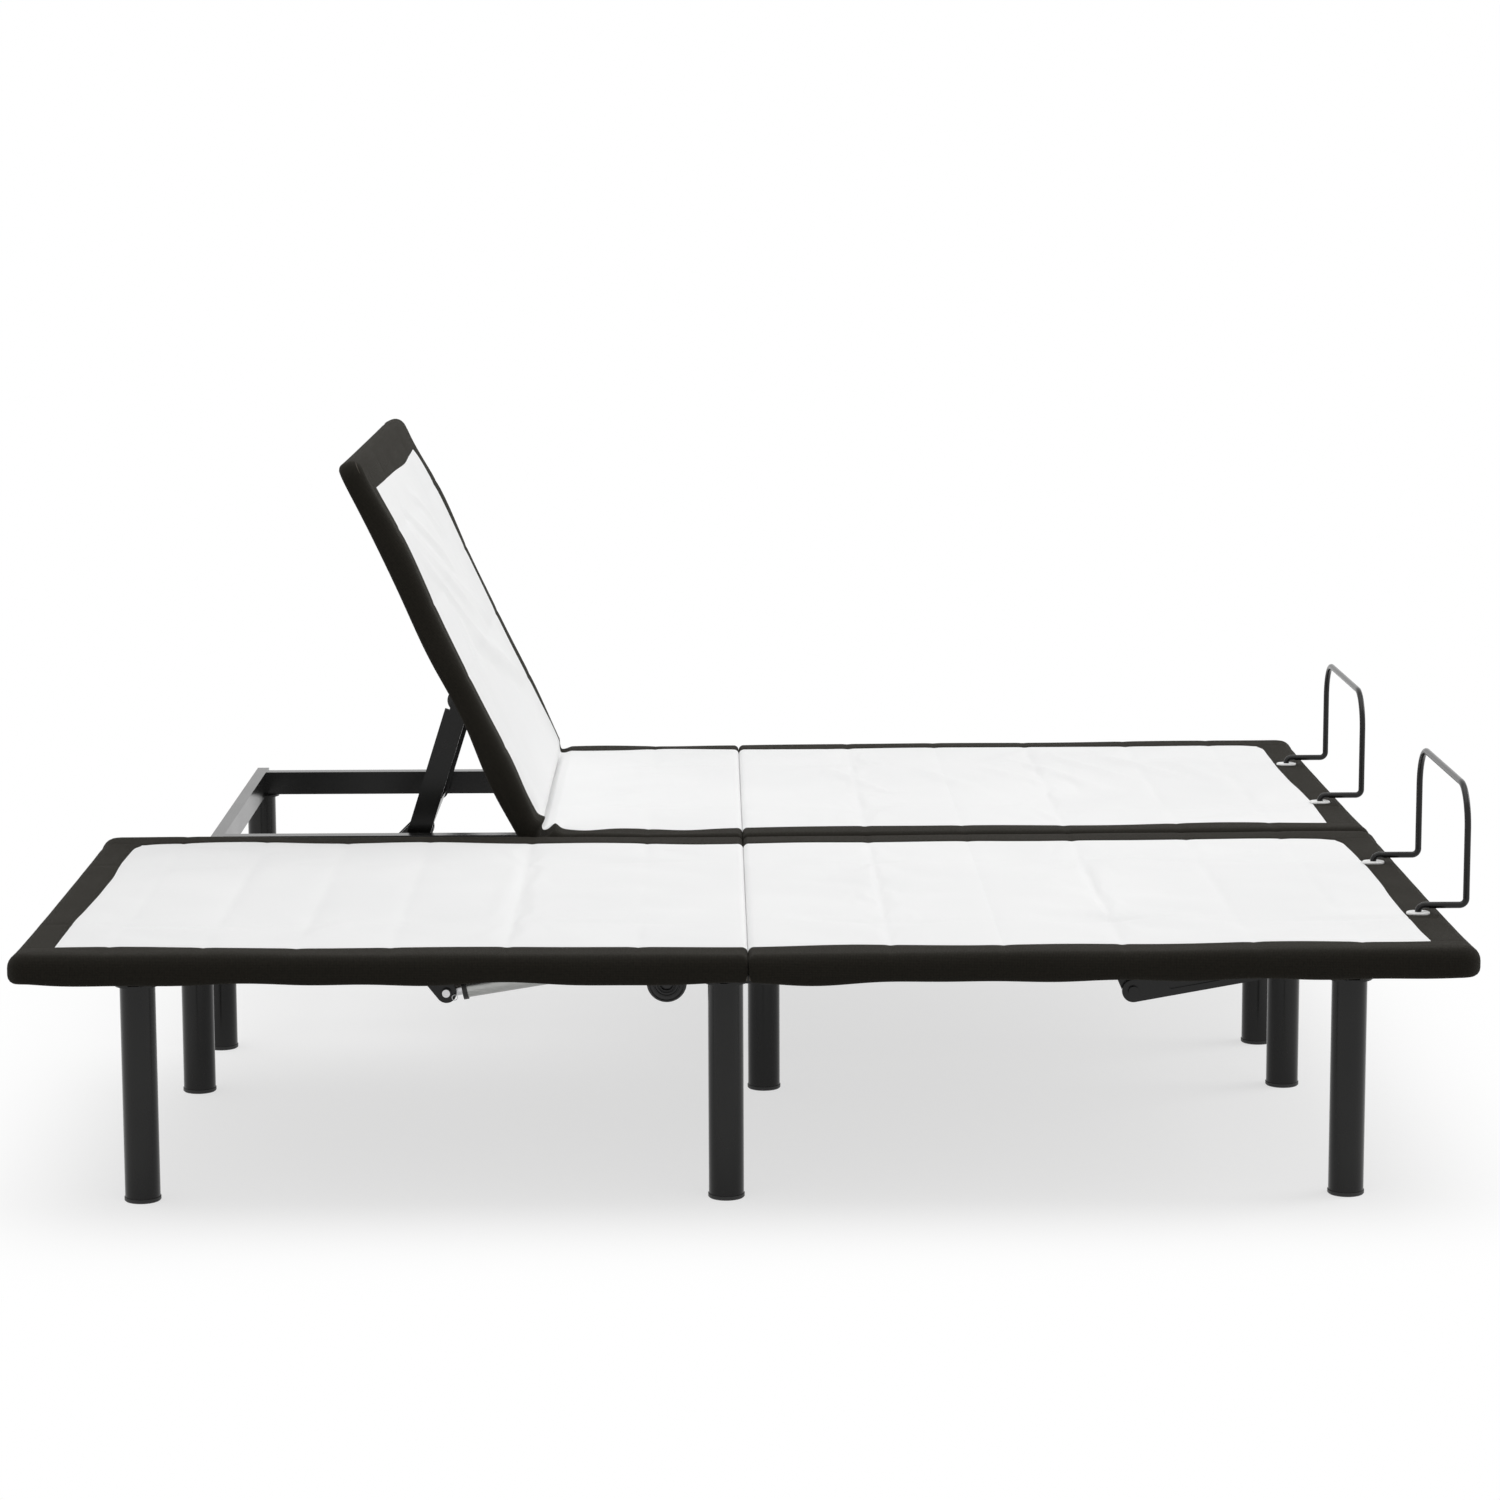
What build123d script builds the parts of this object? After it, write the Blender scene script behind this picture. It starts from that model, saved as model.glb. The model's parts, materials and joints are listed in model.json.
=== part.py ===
from build123d import *
import math
import os

# Adjustable bed base: a pair of identical long single bases that stand side by side.
# X runs from the head end to the foot end, Y across the bed and Z up, with the floor at Z = 0.
# Each half is built lying flat. The left half is then posed with its head section fully raised.

# Overall sizes
half_width = 965.0
deck_length = 2032.0
halves_gap = 0.6
edge_depth = 36.0

# Deck sections along the bed, from the head end
head_length = 686.0
seat_upper_length = 334.5
seat_lower_length = 198.5
thigh_length = 322.0

# How far the sections tilt, in degrees
head_tilt = 65.0
thigh_tilt = 40.0

# Legs
leg_length = 306.0
leg_radius = 25.0
leg_wall = 1.5
leg_row_inset = 152.0
glide_height = 6.0
glide_edge = 1.5
glide_radius = 26.0
plug_length = 18.0
flange_radius = 32.0
flange_thickness = 3.5
plug_gap = 0.2

# Steel frame
frame_end_inset = 151.0
rail_height = 40.0
rail_width = 25.0
cross_width = 20.0
cross_overhang = 42.0
rail_wall = 2.0
fold_gap = 42.0
fold_plate_thickness = 4.0
fold_plate_height = 34.0
bolt_head_radius = 7.5
bolt_head_height = 5.0

# Slatted panels
rest_gap = 0.5
slat_thickness = 12.0
slat_pitch = 130.0
slat_gap = 4.0
batten_width = 22.0
head_panel_setback = 32.0
thigh_panel_setback = 24.0
knee_panel_setback = 32.0
seam_panel_gap = 3.0

# Padded covers
cover_side = 5.0
cover_gap = 0.4
pad_thickness = 10.6
cover_crown = 3.0
cover_shoulder = 7.0
cover_draw = 2.0
cover_bow = 0.5
cover_corner = 28.0
hem_drop = 1.0
head_cover_setback = 18.5
thigh_cover_setback = 11.5
knee_cover_setback = 13.0
seam_cover_gap = 1.0

# Hinges and pins
hinge_drop = 12.0
pin_radius = 5.0
running_gap = 0.05
side_gap = 1.0
hinge_plate_thickness = 5.0
lug_thickness = 8.0
lug_radius = 9.5
hinge_foot = 22.0
lug_foot = 11.0
strap_reach = 50.0

# Lift tubes, arms and rollers
lift_tube_radius = 16.0
lift_tube_wall = 3.0
lift_drop = 26.0
lift_end_gap = 0.5
head_lift_reach = 205.0
head_arm_length = 252.0
head_arm_angle = 180.0
foot_lift_reach = 137.0
foot_arm_length = 130.0
foot_arm_angle = 0.0
arm_half = 18.5
arm_thickness = 12.0
arm_tip_gap = 19.0
arm_tip_radius = 11.0
arm_inset = 22.0
arm_hub_radius = 20.0
roller_radius = 20.0
roller_width = 24.0
roller_gap = 0.3
roller_side_gap = 1.0
track_width = 24.0
bearing_thickness = 8.0
bearing_radius = 20.0

# Lever ears, each given by its length and its angle when the section is flat.
# The head ears are bent near the pin.
ear_thickness = 6.0
ear_radius = 15.0
ear_bend_radius = 18.0
head_lever_length = 126.0
head_lever_angle = -35.9
head_lever_bend = 32.0
head_lever_bend_angle = 123.0
foot_lever_length = 66.0
foot_lever_angle = -129.0

# Actuators
head_rear_reach = 17.0
head_rear_rise = 1.5
head_actuator_offset = -120.0
foot_rear_drop = 53.5
foot_actuator_offset = 110.0
actuator_eye_radius = 13.0
actuator_eye_half = 12.0
bracket_thickness = 5.0
bracket_foot = 9.0
actuator_roll = 180.0
tail_radius = 13.0
tail_length = 44.0
gearbox_radius = 26.0
gearbox_half = 24.0
gearbox_centre = 60.0
gearbox_edge = 3.0
head_motor_offset = 24.0
foot_motor_offset = 38.0
motor_advance = 2.0
motor_radius = 29.0
motor_length = 64.0
motor_shell = 3.0
motor_ring_outer = 14.5
motor_ring_inner = 7.5
nose_radius = 20.0
nose_length = 14.0
outer_tube_radius = 15.0
outer_tube_bore = 12.5
outer_tube_end = 30.0
wiper_radius = 17.5
wiper_width = 7.0
rod_radius = 10.0
rod_clear = 2.0
piston_length = 12.0
slide_gap = 0.2

# Swing links that hold the leg section
link_pivot_advance = 22.0
link_pivot_drop = 15.5
link_length = 215.0
link_angle = 8.6
link_thickness = 6.0
link_root_radius = 16.0
link_tip_radius = 10.5
link_groove_radius = 5.0
link_groove_tip_radius = 2.5
link_groove_start = 54.0
link_groove_end = 161.0
link_groove_depth = 2.0
link_foot_radius = 14.0
link_foot_reach = 44.0

# Mattress retainer
retainer_rod_radius = 4.75
retainer_spacing = 406.0
retainer_inset = 44.0
retainer_overhang = 25.0
retainer_height = 182.0
retainer_low_bend = 9.5
retainer_top_bend = 60.0
grommet_length = 34.0
grommet_width = 26.0
grommet_height = 3.0
grommet_sleeve_radius = 8.0

# Control box under the seat
box_length = 170.0
box_width = 120.0
box_height = 26.0
box_edge = 6.0
box_inset_x = 60.0
box_rail_gap = 48.0
socket_radius = 7.0
socket_depth = 8.0
socket_count = 4

# Heights that stack up from the floor
rail_bottom = glide_height + leg_length + flange_thickness
rail_top = rail_bottom + rail_height
slat_bottom = rail_top + rest_gap
slat_top = slat_bottom + slat_thickness
cover_inside = slat_top + cover_gap
cover_top = cover_inside + pad_thickness
cover_bottom = cover_top - edge_depth
batten_bottom = cover_bottom + hem_drop
pivot_z = slat_top - hinge_drop
lift_z = pivot_z - lift_drop
track_bottom = lift_z + roller_radius + roller_gap

# Places along the bed. The origin is under the middle of the whole base with its retainers.
retainer_out = retainer_overhang + retainer_rod_radius
head_end = -(deck_length + retainer_out) / 2
foot_end = head_end + deck_length
head_hinge_x = head_end + head_length
seam_x = head_hinge_x + seat_upper_length
thigh_hinge_x = seam_x + seat_lower_length
knee_x = thigh_hinge_x + thigh_length
head_lift_x = head_hinge_x - head_lift_reach
foot_lift_x = thigh_hinge_x + foot_lift_reach
head_rail_x = head_end + frame_end_inset + cross_width / 2
foot_rail_x = foot_end - frame_end_inset - cross_width / 2
mid_head_rail_x = seam_x - (fold_gap + cross_width) / 2
mid_foot_rail_x = seam_x + (fold_gap + cross_width) / 2

# Places across one half, counted from its middle
cover_y = (half_width - halves_gap) / 2
panel_y = cover_y - cover_side - cover_gap
row_y = half_width / 2 - leg_row_inset
rail_inner_y = row_y - rail_width / 2
rail_outer_y = row_y + rail_width / 2
cross_end_y = row_y + cross_overhang
hinge_plate_y = rail_inner_y - hinge_plate_thickness
outer_lug_y = hinge_plate_y - side_gap - lug_thickness
inner_lug_y = outer_lug_y - side_gap - lug_thickness
arm_y = rail_inner_y - arm_inset - arm_thickness
roller_y = arm_y - roller_side_gap - roller_width
link_y = rail_outer_y + hinge_plate_thickness + side_gap
link_lug_y = link_y + link_thickness + side_gap
ear_y = actuator_eye_half + side_gap


def direction(angle):
    """Unit step in X and Z at an angle in degrees, counted from +X towards +Z."""
    return math.cos(math.radians(angle)), math.sin(math.radians(angle))


def reach(start, length, angle):
    """The point at a distance and angle from a start point, in X and Z."""
    step = direction(angle)
    return start[0] + length * step[0], start[1] + length * step[1]


def span(start, end):
    """Length and angle in degrees of the line between two points in X and Z."""
    dx = end[0] - start[0]
    dz = end[1] - start[1]
    return math.hypot(dx, dz), math.degrees(math.atan2(dz, dx))


def lift_turn(lift_reach, arm_length, tilt):
    """Turn of a lift tube that keeps its rollers on the track when the section is tilted."""
    rad = math.radians(tilt)
    below = -lift_drop + lift_reach * math.sin(rad) + lift_drop * math.cos(rad)
    return tilt + math.degrees(math.asin(below / arm_length))


# Head lift: pivot, lever pin flat and raised, actuator length and swing
head_pivot = (head_hinge_x, pivot_z)
head_lift_pivot = (head_lift_x, lift_z)
head_lift_turn = lift_turn(head_lift_reach, head_arm_length, head_tilt)
head_lever_flat = reach(head_lift_pivot, head_lever_length, head_lever_angle)
head_lever_elbow = reach(head_lever_flat, head_lever_bend, head_lever_bend_angle)
head_lever_raised = reach(head_lift_pivot, head_lever_length, head_lever_angle - head_lift_turn)
head_rear = (mid_head_rail_x - cross_width / 2 - head_rear_reach, rail_bottom + head_rear_rise)
head_closed, head_closed_angle = span(head_rear, head_lever_flat)
head_open, head_open_angle = span(head_rear, head_lever_raised)
head_stroke = head_open - head_closed
head_swing = (head_closed_angle - head_open_angle + 180.0) % 360.0 - 180.0

# Foot lift: the same for the thigh section, which turns the other way
thigh_pivot = (thigh_hinge_x, pivot_z)
foot_lift_pivot = (foot_lift_x, lift_z)
foot_lift_turn = lift_turn(foot_lift_reach, foot_arm_length, thigh_tilt)
foot_lever_flat = reach(foot_lift_pivot, foot_lever_length, foot_lever_angle)
foot_lever_raised = reach(foot_lift_pivot, foot_lever_length, foot_lever_angle + foot_lift_turn)
foot_rear = (mid_foot_rail_x, rail_bottom - foot_rear_drop)
foot_closed, foot_closed_angle = span(foot_rear, foot_lever_flat)
foot_open, foot_open_angle = span(foot_rear, foot_lever_raised)
foot_stroke = foot_open - foot_closed
foot_swing = foot_open_angle - foot_closed_angle

# Leg section: a four bar linkage of thigh, leg section, swing links and frame
knee_pivot = (knee_x, pivot_z)
link_pivot = (knee_x + link_pivot_advance, rail_bottom - link_pivot_drop)
link_tip = reach(link_pivot, link_length, link_angle)
knee_to_tip, knee_tip_angle = span(knee_pivot, link_tip)
knee_raised = reach(thigh_pivot, thigh_length, thigh_tilt)
knee_to_link, knee_link_angle = span(knee_raised, link_pivot)
tip_share = (knee_to_tip**2 + knee_to_link**2 - link_length**2) / (2 * knee_to_tip * knee_to_link)
tip_raised = reach(knee_raised, knee_to_tip, knee_link_angle + math.degrees(math.acos(tip_share)))
leg_slope = span(knee_raised, tip_raised)[1] - knee_tip_angle
leg_turn = leg_slope - thigh_tilt
link_turn = span(link_pivot, tip_raised)[1] - link_angle


def block(x_low, x_high, y_low, y_high, z_low, z_high):
    """A plain block between two corners."""
    middle = Pos((x_low + x_high) / 2, (y_low + y_high) / 2, (z_low + z_high) / 2)
    return middle * Box(x_high - x_low, y_high - y_low, z_high - z_low)


def disc(centre, radius):
    """A round outline about a point given in X and Z."""
    return Pos(centre[0], centre[1]) * Circle(radius)


def panel(x_low, x_high, z_low, z_high):
    """A rectangular outline in X and Z."""
    return Pos((x_low + x_high) / 2, (z_low + z_high) / 2) * Rectangle(x_high - x_low, z_high - z_low)


def wrapped(*outlines):
    """The outline that a band drawn tight round the given outlines would take."""
    edges = [edge for outline in outlines for edge in outline.edges()]
    return make_hull(edges)


def plate(outline, y_low, y_high):
    """A flat piece whose outline lies in X and Z and whose thickness runs along Y."""
    return Pos(0, y_high, 0) * extrude(Plane.XZ * outline, amount=y_high - y_low)


def bar(centre, radius, y_low, y_high):
    """A round bar along Y."""
    return plate(disc(centre, radius), y_low, y_high)


def on_both_sides(solid):
    """A piece and its mirror image across the middle of the half."""
    return [solid, mirror(solid, about=Plane.XZ)]


def hollow_bar(x_low, x_high, y_low, y_high, along):
    """A square steel tube of rail height, open at its ends, along X or Y."""
    outer = block(x_low, x_high, y_low, y_high, rail_bottom, rail_top)
    cut_x = 0 if along == "x" else rail_wall
    cut_y = 0 if along == "y" else rail_wall
    inner = block(
        x_low + cut_x, x_high - cut_x, y_low + cut_y, y_high - cut_y,
        rail_bottom + rail_wall, rail_top - rail_wall,
    )
    return outer - inner


def leg_places():
    """Where the six legs of one half stand: four at the corners and one on each side of the fold."""
    corners = [(x, y) for x in (head_rail_x, foot_rail_x) for y in (-row_y, row_y)]
    return corners + [(mid_head_rail_x, -row_y), (mid_foot_rail_x, row_y)]


def make_legs():
    """Round tube legs, their top flanges with spigots and their plastic glides."""
    tube = extrude(Circle(leg_radius) - Circle(leg_radius - leg_wall), amount=leg_length)
    spigot = Circle(leg_radius - leg_wall - plug_gap)
    glide = extrude(Circle(glide_radius), amount=glide_height)
    glide = chamfer(glide.edges().group_by(Axis.Z)[0], glide_edge)
    glide = glide + Pos(0, 0, glide_height) * extrude(spigot, amount=plug_length)
    flange = extrude(Circle(flange_radius), amount=flange_thickness)
    flange = flange + extrude(spigot, amount=-plug_length)
    legs = []
    flanges = []
    glides = []
    for x, y in leg_places():
        legs.append(Pos(x, y, glide_height) * tube)
        glides.append(Pos(x, y, 0) * glide)
        flanges.append(Pos(x, y, glide_height + leg_length) * flange)
    return legs, flanges, glides


def make_rails():
    """Side rails in two lengths a side, as the frame folds for shipping, and four cross rails."""
    ends = (
        (head_rail_x + cross_width / 2, mid_head_rail_x - cross_width / 2),
        (mid_foot_rail_x + cross_width / 2, foot_rail_x - cross_width / 2),
    )
    side_rails = []
    for x_low, x_high in ends:
        side_rails += on_both_sides(hollow_bar(x_low, x_high, rail_inner_y, rail_outer_y, "x"))
    cross_rails = []
    for x in (head_rail_x, mid_head_rail_x, mid_foot_rail_x, foot_rail_x):
        half = cross_width / 2
        cross_rails.append(hollow_bar(x - half, x + half, -cross_end_y, cross_end_y, "y"))
    return side_rails, cross_rails


def make_fold_plates():
    """Plates across the fold, bolted to the ends of the two middle cross rails."""
    middle_z = (rail_bottom + rail_top) / 2
    length = fold_gap + 2 * cross_width
    outline = Pos(seam_x, middle_z) * SlotOverall(length, fold_plate_height)
    strap = plate(outline, cross_end_y, cross_end_y + fold_plate_thickness)
    for x in (mid_head_rail_x, mid_foot_rail_x):
        outside = cross_end_y + fold_plate_thickness
        strap = strap + bar((x, middle_z), bolt_head_radius, outside, outside + bolt_head_height)
    return on_both_sides(strap)


def hinge_plate(pivot):
    """A plate on the inside of a rail that carries a hinge pin at deck height."""
    foot = panel(pivot[0] - hinge_foot, pivot[0] + hinge_foot, rail_bottom + rail_wall, rail_top - rail_wall)
    outline = wrapped(foot, disc(pivot, lug_radius)) - disc(pivot, pin_radius + running_gap)
    return plate(outline, hinge_plate_y, rail_inner_y)


def bearing_plate(pivot):
    """A plate on the inside of a rail that a lift tube turns in."""
    outline = disc(pivot, bearing_radius) - disc(pivot, lift_tube_radius + running_gap)
    return plate(outline, rail_inner_y - bearing_thickness, rail_inner_y)


def link_plate():
    """A plate on the outside of a rail that carries a swing link."""
    foot_end_x = link_pivot[0] + link_foot_reach
    foot = panel(link_pivot[0] - hinge_foot, foot_end_x, rail_bottom, rail_top - rail_wall)
    outline = wrapped(foot, disc(link_pivot, link_foot_radius)) - disc(link_pivot, pin_radius + running_gap)
    return plate(outline, rail_outer_y, rail_outer_y + hinge_plate_thickness)


def rear_bracket(pivot, y_mid, foot):
    """Two plates on a cross rail that hold the rear eye of an actuator. foot is their edge along the rail."""
    outline = wrapped(foot, disc(pivot, tail_radius)) - disc(pivot, pin_radius + running_gap)
    inside = actuator_eye_half + side_gap
    outside = inside + bracket_thickness
    return [plate(outline, y_mid + inside, y_mid + outside), plate(outline, y_mid - outside, y_mid - inside)]


def make_brackets():
    """All plates welded to the frame of one half."""
    solids = []
    for pivot in (head_pivot, thigh_pivot):
        solids += on_both_sides(hinge_plate(pivot))
    for pivot in (head_lift_pivot, foot_lift_pivot):
        solids += on_both_sides(bearing_plate(pivot))
    solids += on_both_sides(link_plate())
    rail_face = mid_head_rail_x - cross_width / 2
    side_foot = panel(rail_face - rail_wall, rail_face, rail_bottom + rail_wall, rail_top - rail_wall)
    solids += rear_bracket(head_rear, head_actuator_offset, side_foot)
    x_low = foot_rear[0] - bracket_foot
    low_foot = panel(x_low, foot_rear[0] + bracket_foot, rail_bottom - rail_wall, rail_bottom)
    solids += rear_bracket(foot_rear, foot_actuator_offset, low_foot)
    return solids


def make_pins():
    """Pins fixed in the frame: deck hinges, swing link bolts and the rear pins of the actuators."""
    pins = []
    for pivot in (head_pivot, thigh_pivot):
        pins += on_both_sides(bar(pivot, pin_radius, outer_lug_y, rail_inner_y))
    bolt = bar(link_pivot, pin_radius, rail_outer_y, link_y + link_thickness + rest_gap)
    head_side = link_y + link_thickness + rest_gap
    bolt = bolt + bar(link_pivot, bolt_head_radius, head_side, head_side + bolt_head_height)
    pins += on_both_sides(bolt)
    half = actuator_eye_half + side_gap + bracket_thickness
    for pivot, y_mid in ((head_rear, head_actuator_offset), (foot_rear, foot_actuator_offset)):
        pins.append(bar(pivot, pin_radius, y_mid - half, y_mid + half))
    return pins


def rounded_plan(x_low, x_high, half_y, corner, closed_end):
    """A rectangle seen from above with its two corners at the closed end rounded."""
    plan = Pos((x_low + x_high) / 2, 0) * Rectangle(x_high - x_low, 2 * half_y)
    return fillet(plan.vertices().group_by(Axis.X)[-1 if closed_end > 0 else 0], corner)


def slatted_panel(x_low, x_high, closed_end=0):
    """Cross slats between two side battens. closed_end is -1 or 1 where an end batten closes the panel."""
    solids = on_both_sides(block(x_low, x_high, panel_y - batten_width, panel_y, batten_bottom, slat_top))
    count = max(1, round((x_high - x_low) / slat_pitch))
    pitch = (x_high - x_low) / count
    inside = panel_y - batten_width
    for i in range(count):
        start = x_low + i * pitch + slat_gap / 2
        solids.append(block(start, start + pitch - slat_gap, -inside, inside, slat_bottom, slat_top))
    if closed_end:
        edge = x_high if closed_end > 0 else x_low
        ends = sorted((edge - closed_end * batten_width, edge))
        solids.append(block(ends[0], ends[1], -inside, inside, batten_bottom, slat_bottom))
        plan = rounded_plan(x_low, x_high, panel_y, cover_corner - cover_side - cover_gap, closed_end)
        outline = Pos(0, 0, batten_bottom) * extrude(plan, amount=slat_top - batten_bottom)
        solids = [solid & outline for solid in solids]
    return solids


def cover_section():
    """Section of a cover across the bed: crowned top, round shoulders and sides that draw in to the hem."""
    edge_z = cover_top - cover_crown
    waist_z = (cover_bottom + edge_z - cover_shoulder) / 2
    slope = cover_shoulder * (1 - math.sqrt(0.5))
    hem = Line((-cover_y + cover_draw, cover_bottom), (cover_y - cover_draw, cover_bottom))
    side = ThreePointArc(
        hem @ 1, (cover_y - cover_bow, waist_z), (cover_y, edge_z - cover_shoulder)
    )
    shoulder = ThreePointArc(
        side @ 1, (cover_y - slope, edge_z - slope), (cover_y - cover_shoulder, edge_z)
    )
    crown = ThreePointArc(shoulder @ 1, (0, cover_top), (-cover_y + cover_shoulder, edge_z))
    far_shoulder = ThreePointArc(
        crown @ 1, (-cover_y + slope, edge_z - slope), (-cover_y, edge_z - cover_shoulder)
    )
    far_side = ThreePointArc(far_shoulder @ 1, (-cover_y + cover_bow, waist_z), hem @ 0)
    return make_face([hem, side, shoulder, crown, far_shoulder, far_side])


def padded_cover(x_low, x_high, closed_end=0):
    """A padded cloth top and the border strips sewn to it, round the sides and any closed end of a panel."""
    outer = Pos(x_low, 0, 0) * extrude(Plane.YZ * cover_section(), amount=x_high - x_low)
    inside_y = panel_y + cover_gap
    side_low = x_low
    side_high = x_high
    if closed_end:
        side_view = panel(x_low, x_high, cover_bottom, cover_top)
        corner = side_view.vertices().group_by(Axis.Y)[-1].sort_by(Axis.X)[-1 if closed_end > 0 else 0]
        outer = outer & plate(fillet(corner, cover_shoulder + cover_crown), -cover_y, cover_y)
        plan = rounded_plan(x_low, x_high, cover_y, cover_corner, closed_end)
        outer = outer & Pos(0, 0, cover_bottom) * extrude(plan, amount=edge_depth)
        if closed_end > 0:
            side_high = x_high - cover_corner
        else:
            side_low = x_low + cover_corner
    pad = outer & block(x_low, x_high, -cover_y, cover_y, cover_inside, cover_top)
    side = outer & block(side_low, side_high, inside_y, cover_y, cover_bottom, cover_inside)
    solids = [pad] + on_both_sides(side)
    if closed_end:
        near = side_high if closed_end > 0 else x_low
        far = x_high if closed_end > 0 else side_low
        inner_low = near - cover_side if closed_end > 0 else x_low + cover_side
        inner_high = x_high - cover_side if closed_end > 0 else far + cover_side
        room = rounded_plan(inner_low, inner_high, inside_y, cover_corner - cover_side, closed_end)
        hollow = Pos(0, 0, cover_bottom) * extrude(room, amount=edge_depth)
        end = outer & block(near, far, -cover_y, cover_y, cover_bottom, cover_inside)
        solids.append(end - hollow)
    return solids


def hinge_strap(pivot, outward, lug_low, bored=True):
    """A lug round a hinge pin and the flat strap that ties it to the track. outward is 1 or -1 along X."""
    near, middle, far = (pivot[0] + outward * step for step in (lug_foot, hinge_foot, strap_reach))
    foot = panel(min(near, middle), max(near, middle), track_bottom, slat_bottom)
    outline = wrapped(foot, disc(pivot, lug_radius))
    if bored:
        outline = outline - disc(pivot, pin_radius + running_gap)
    lug = plate(outline, lug_low, lug_low + lug_thickness)
    strap_end = lug_low + lug_thickness
    return lug + block(min(near, far), max(near, far), roller_y, strap_end, track_bottom, slat_bottom)


def track(x_low, x_high):
    """A flat steel track under a panel for a lift roller."""
    return block(x_low, x_high, roller_y, roller_y + track_width, track_bottom, slat_bottom)


def make_head_frame():
    """Roller tracks of the head section with their hinge lugs."""
    far = head_lift_x - head_arm_length - roller_radius
    strap = hinge_strap(head_pivot, -1, outer_lug_y)
    return on_both_sides(strap + track(far, head_hinge_x - hinge_foot))


def make_thigh_frame():
    """Roller tracks of the thigh section with lugs at both ends and the knee pins riveted in."""
    body = track(thigh_hinge_x + hinge_foot, knee_x - hinge_foot)
    body = body + hinge_strap(thigh_pivot, 1, outer_lug_y)
    body = body + hinge_strap(knee_pivot, -1, outer_lug_y, bored=False)
    pin = bar(knee_pivot, pin_radius, inner_lug_y, outer_lug_y + lug_thickness)
    return on_both_sides(body + pin)


def make_leg_frame():
    """Knee lugs of the leg section and the lugs that the swing links hold."""
    foot = panel(link_tip[0] - hinge_foot, link_tip[0] + hinge_foot, slat_bottom - rail_wall, slat_bottom)
    outline = wrapped(foot, disc(link_tip, link_tip_radius))
    outside = link_lug_y + link_thickness
    lug = plate(outline, link_lug_y, outside)
    lug = lug + bar(link_tip, bolt_head_radius, outside, outside + bolt_head_height)
    flange = block(
        link_tip[0] - hinge_foot, link_tip[0] + hinge_foot, outside, outside + hinge_foot,
        slat_bottom - hinge_plate_thickness, slat_bottom,
    )
    knee = hinge_strap(knee_pivot, 1, inner_lug_y)
    return on_both_sides(lug + flange) + on_both_sides(knee)


def arm_side(pivot, arm_length, arm_angle):
    """Side view of a lift arm: a straight bar with a square end and a narrow tip that holds the roller."""
    end = arm_length - arm_tip_gap
    middle = reach(pivot, end / 2, arm_angle)
    beam = Pos(*middle) * Rot(0, 0, arm_angle) * Rectangle(end, 2 * arm_half)
    tip_root = disc(reach(pivot, end - arm_tip_gap, arm_angle), arm_tip_radius)
    tip = disc(reach(pivot, arm_length, arm_angle), arm_tip_radius)
    return disc(pivot, arm_hub_radius) + beam + wrapped(tip_root, tip)


def make_lift(pivot, arm_length, arm_angle, lever_pin, lever_elbow, y_mid):
    """A lift tube with its two arms, the pins of its rollers and the two lever ears for the actuator."""
    half = rail_inner_y - lift_end_gap
    ring = disc(pivot, lift_tube_radius) - disc(pivot, lift_tube_radius - lift_tube_wall)
    body = plate(ring, -half, half)
    bore = disc(pivot, lift_tube_radius - lift_tube_wall)
    tip = reach(pivot, arm_length, arm_angle)
    arm = plate(arm_side(pivot, arm_length, arm_angle) - bore, arm_y, arm_y + arm_thickness)
    arm = arm + bar(tip, pin_radius, roller_y, arm_y)
    body = body + arm + mirror(arm, about=Plane.XZ)
    bend = disc(lever_elbow, ear_bend_radius)
    ear_outline = wrapped(disc(pivot, arm_hub_radius), bend) + wrapped(bend, disc(lever_pin, ear_radius))
    ear_outside = ear_y + ear_thickness
    ear = plate(ear_outline - bore, ear_y, ear_outside)
    ear = ear + bar(lever_pin, bolt_head_radius, ear_outside, ear_outside + bolt_head_height)
    return [body + Pos(0, y_mid, 0) * ear + Pos(0, y_mid, 0) * mirror(ear, about=Plane.XZ)]


def make_rollers(pivot, arm_length, arm_angle):
    """The pair of plain rollers at the tips of the lift arms."""
    tip = reach(pivot, arm_length, arm_angle)
    ring = disc(tip, roller_radius) - disc(tip, pin_radius + running_gap)
    wheel = plate(ring, roller_y, roller_y + roller_width)
    return on_both_sides(wheel)


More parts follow.
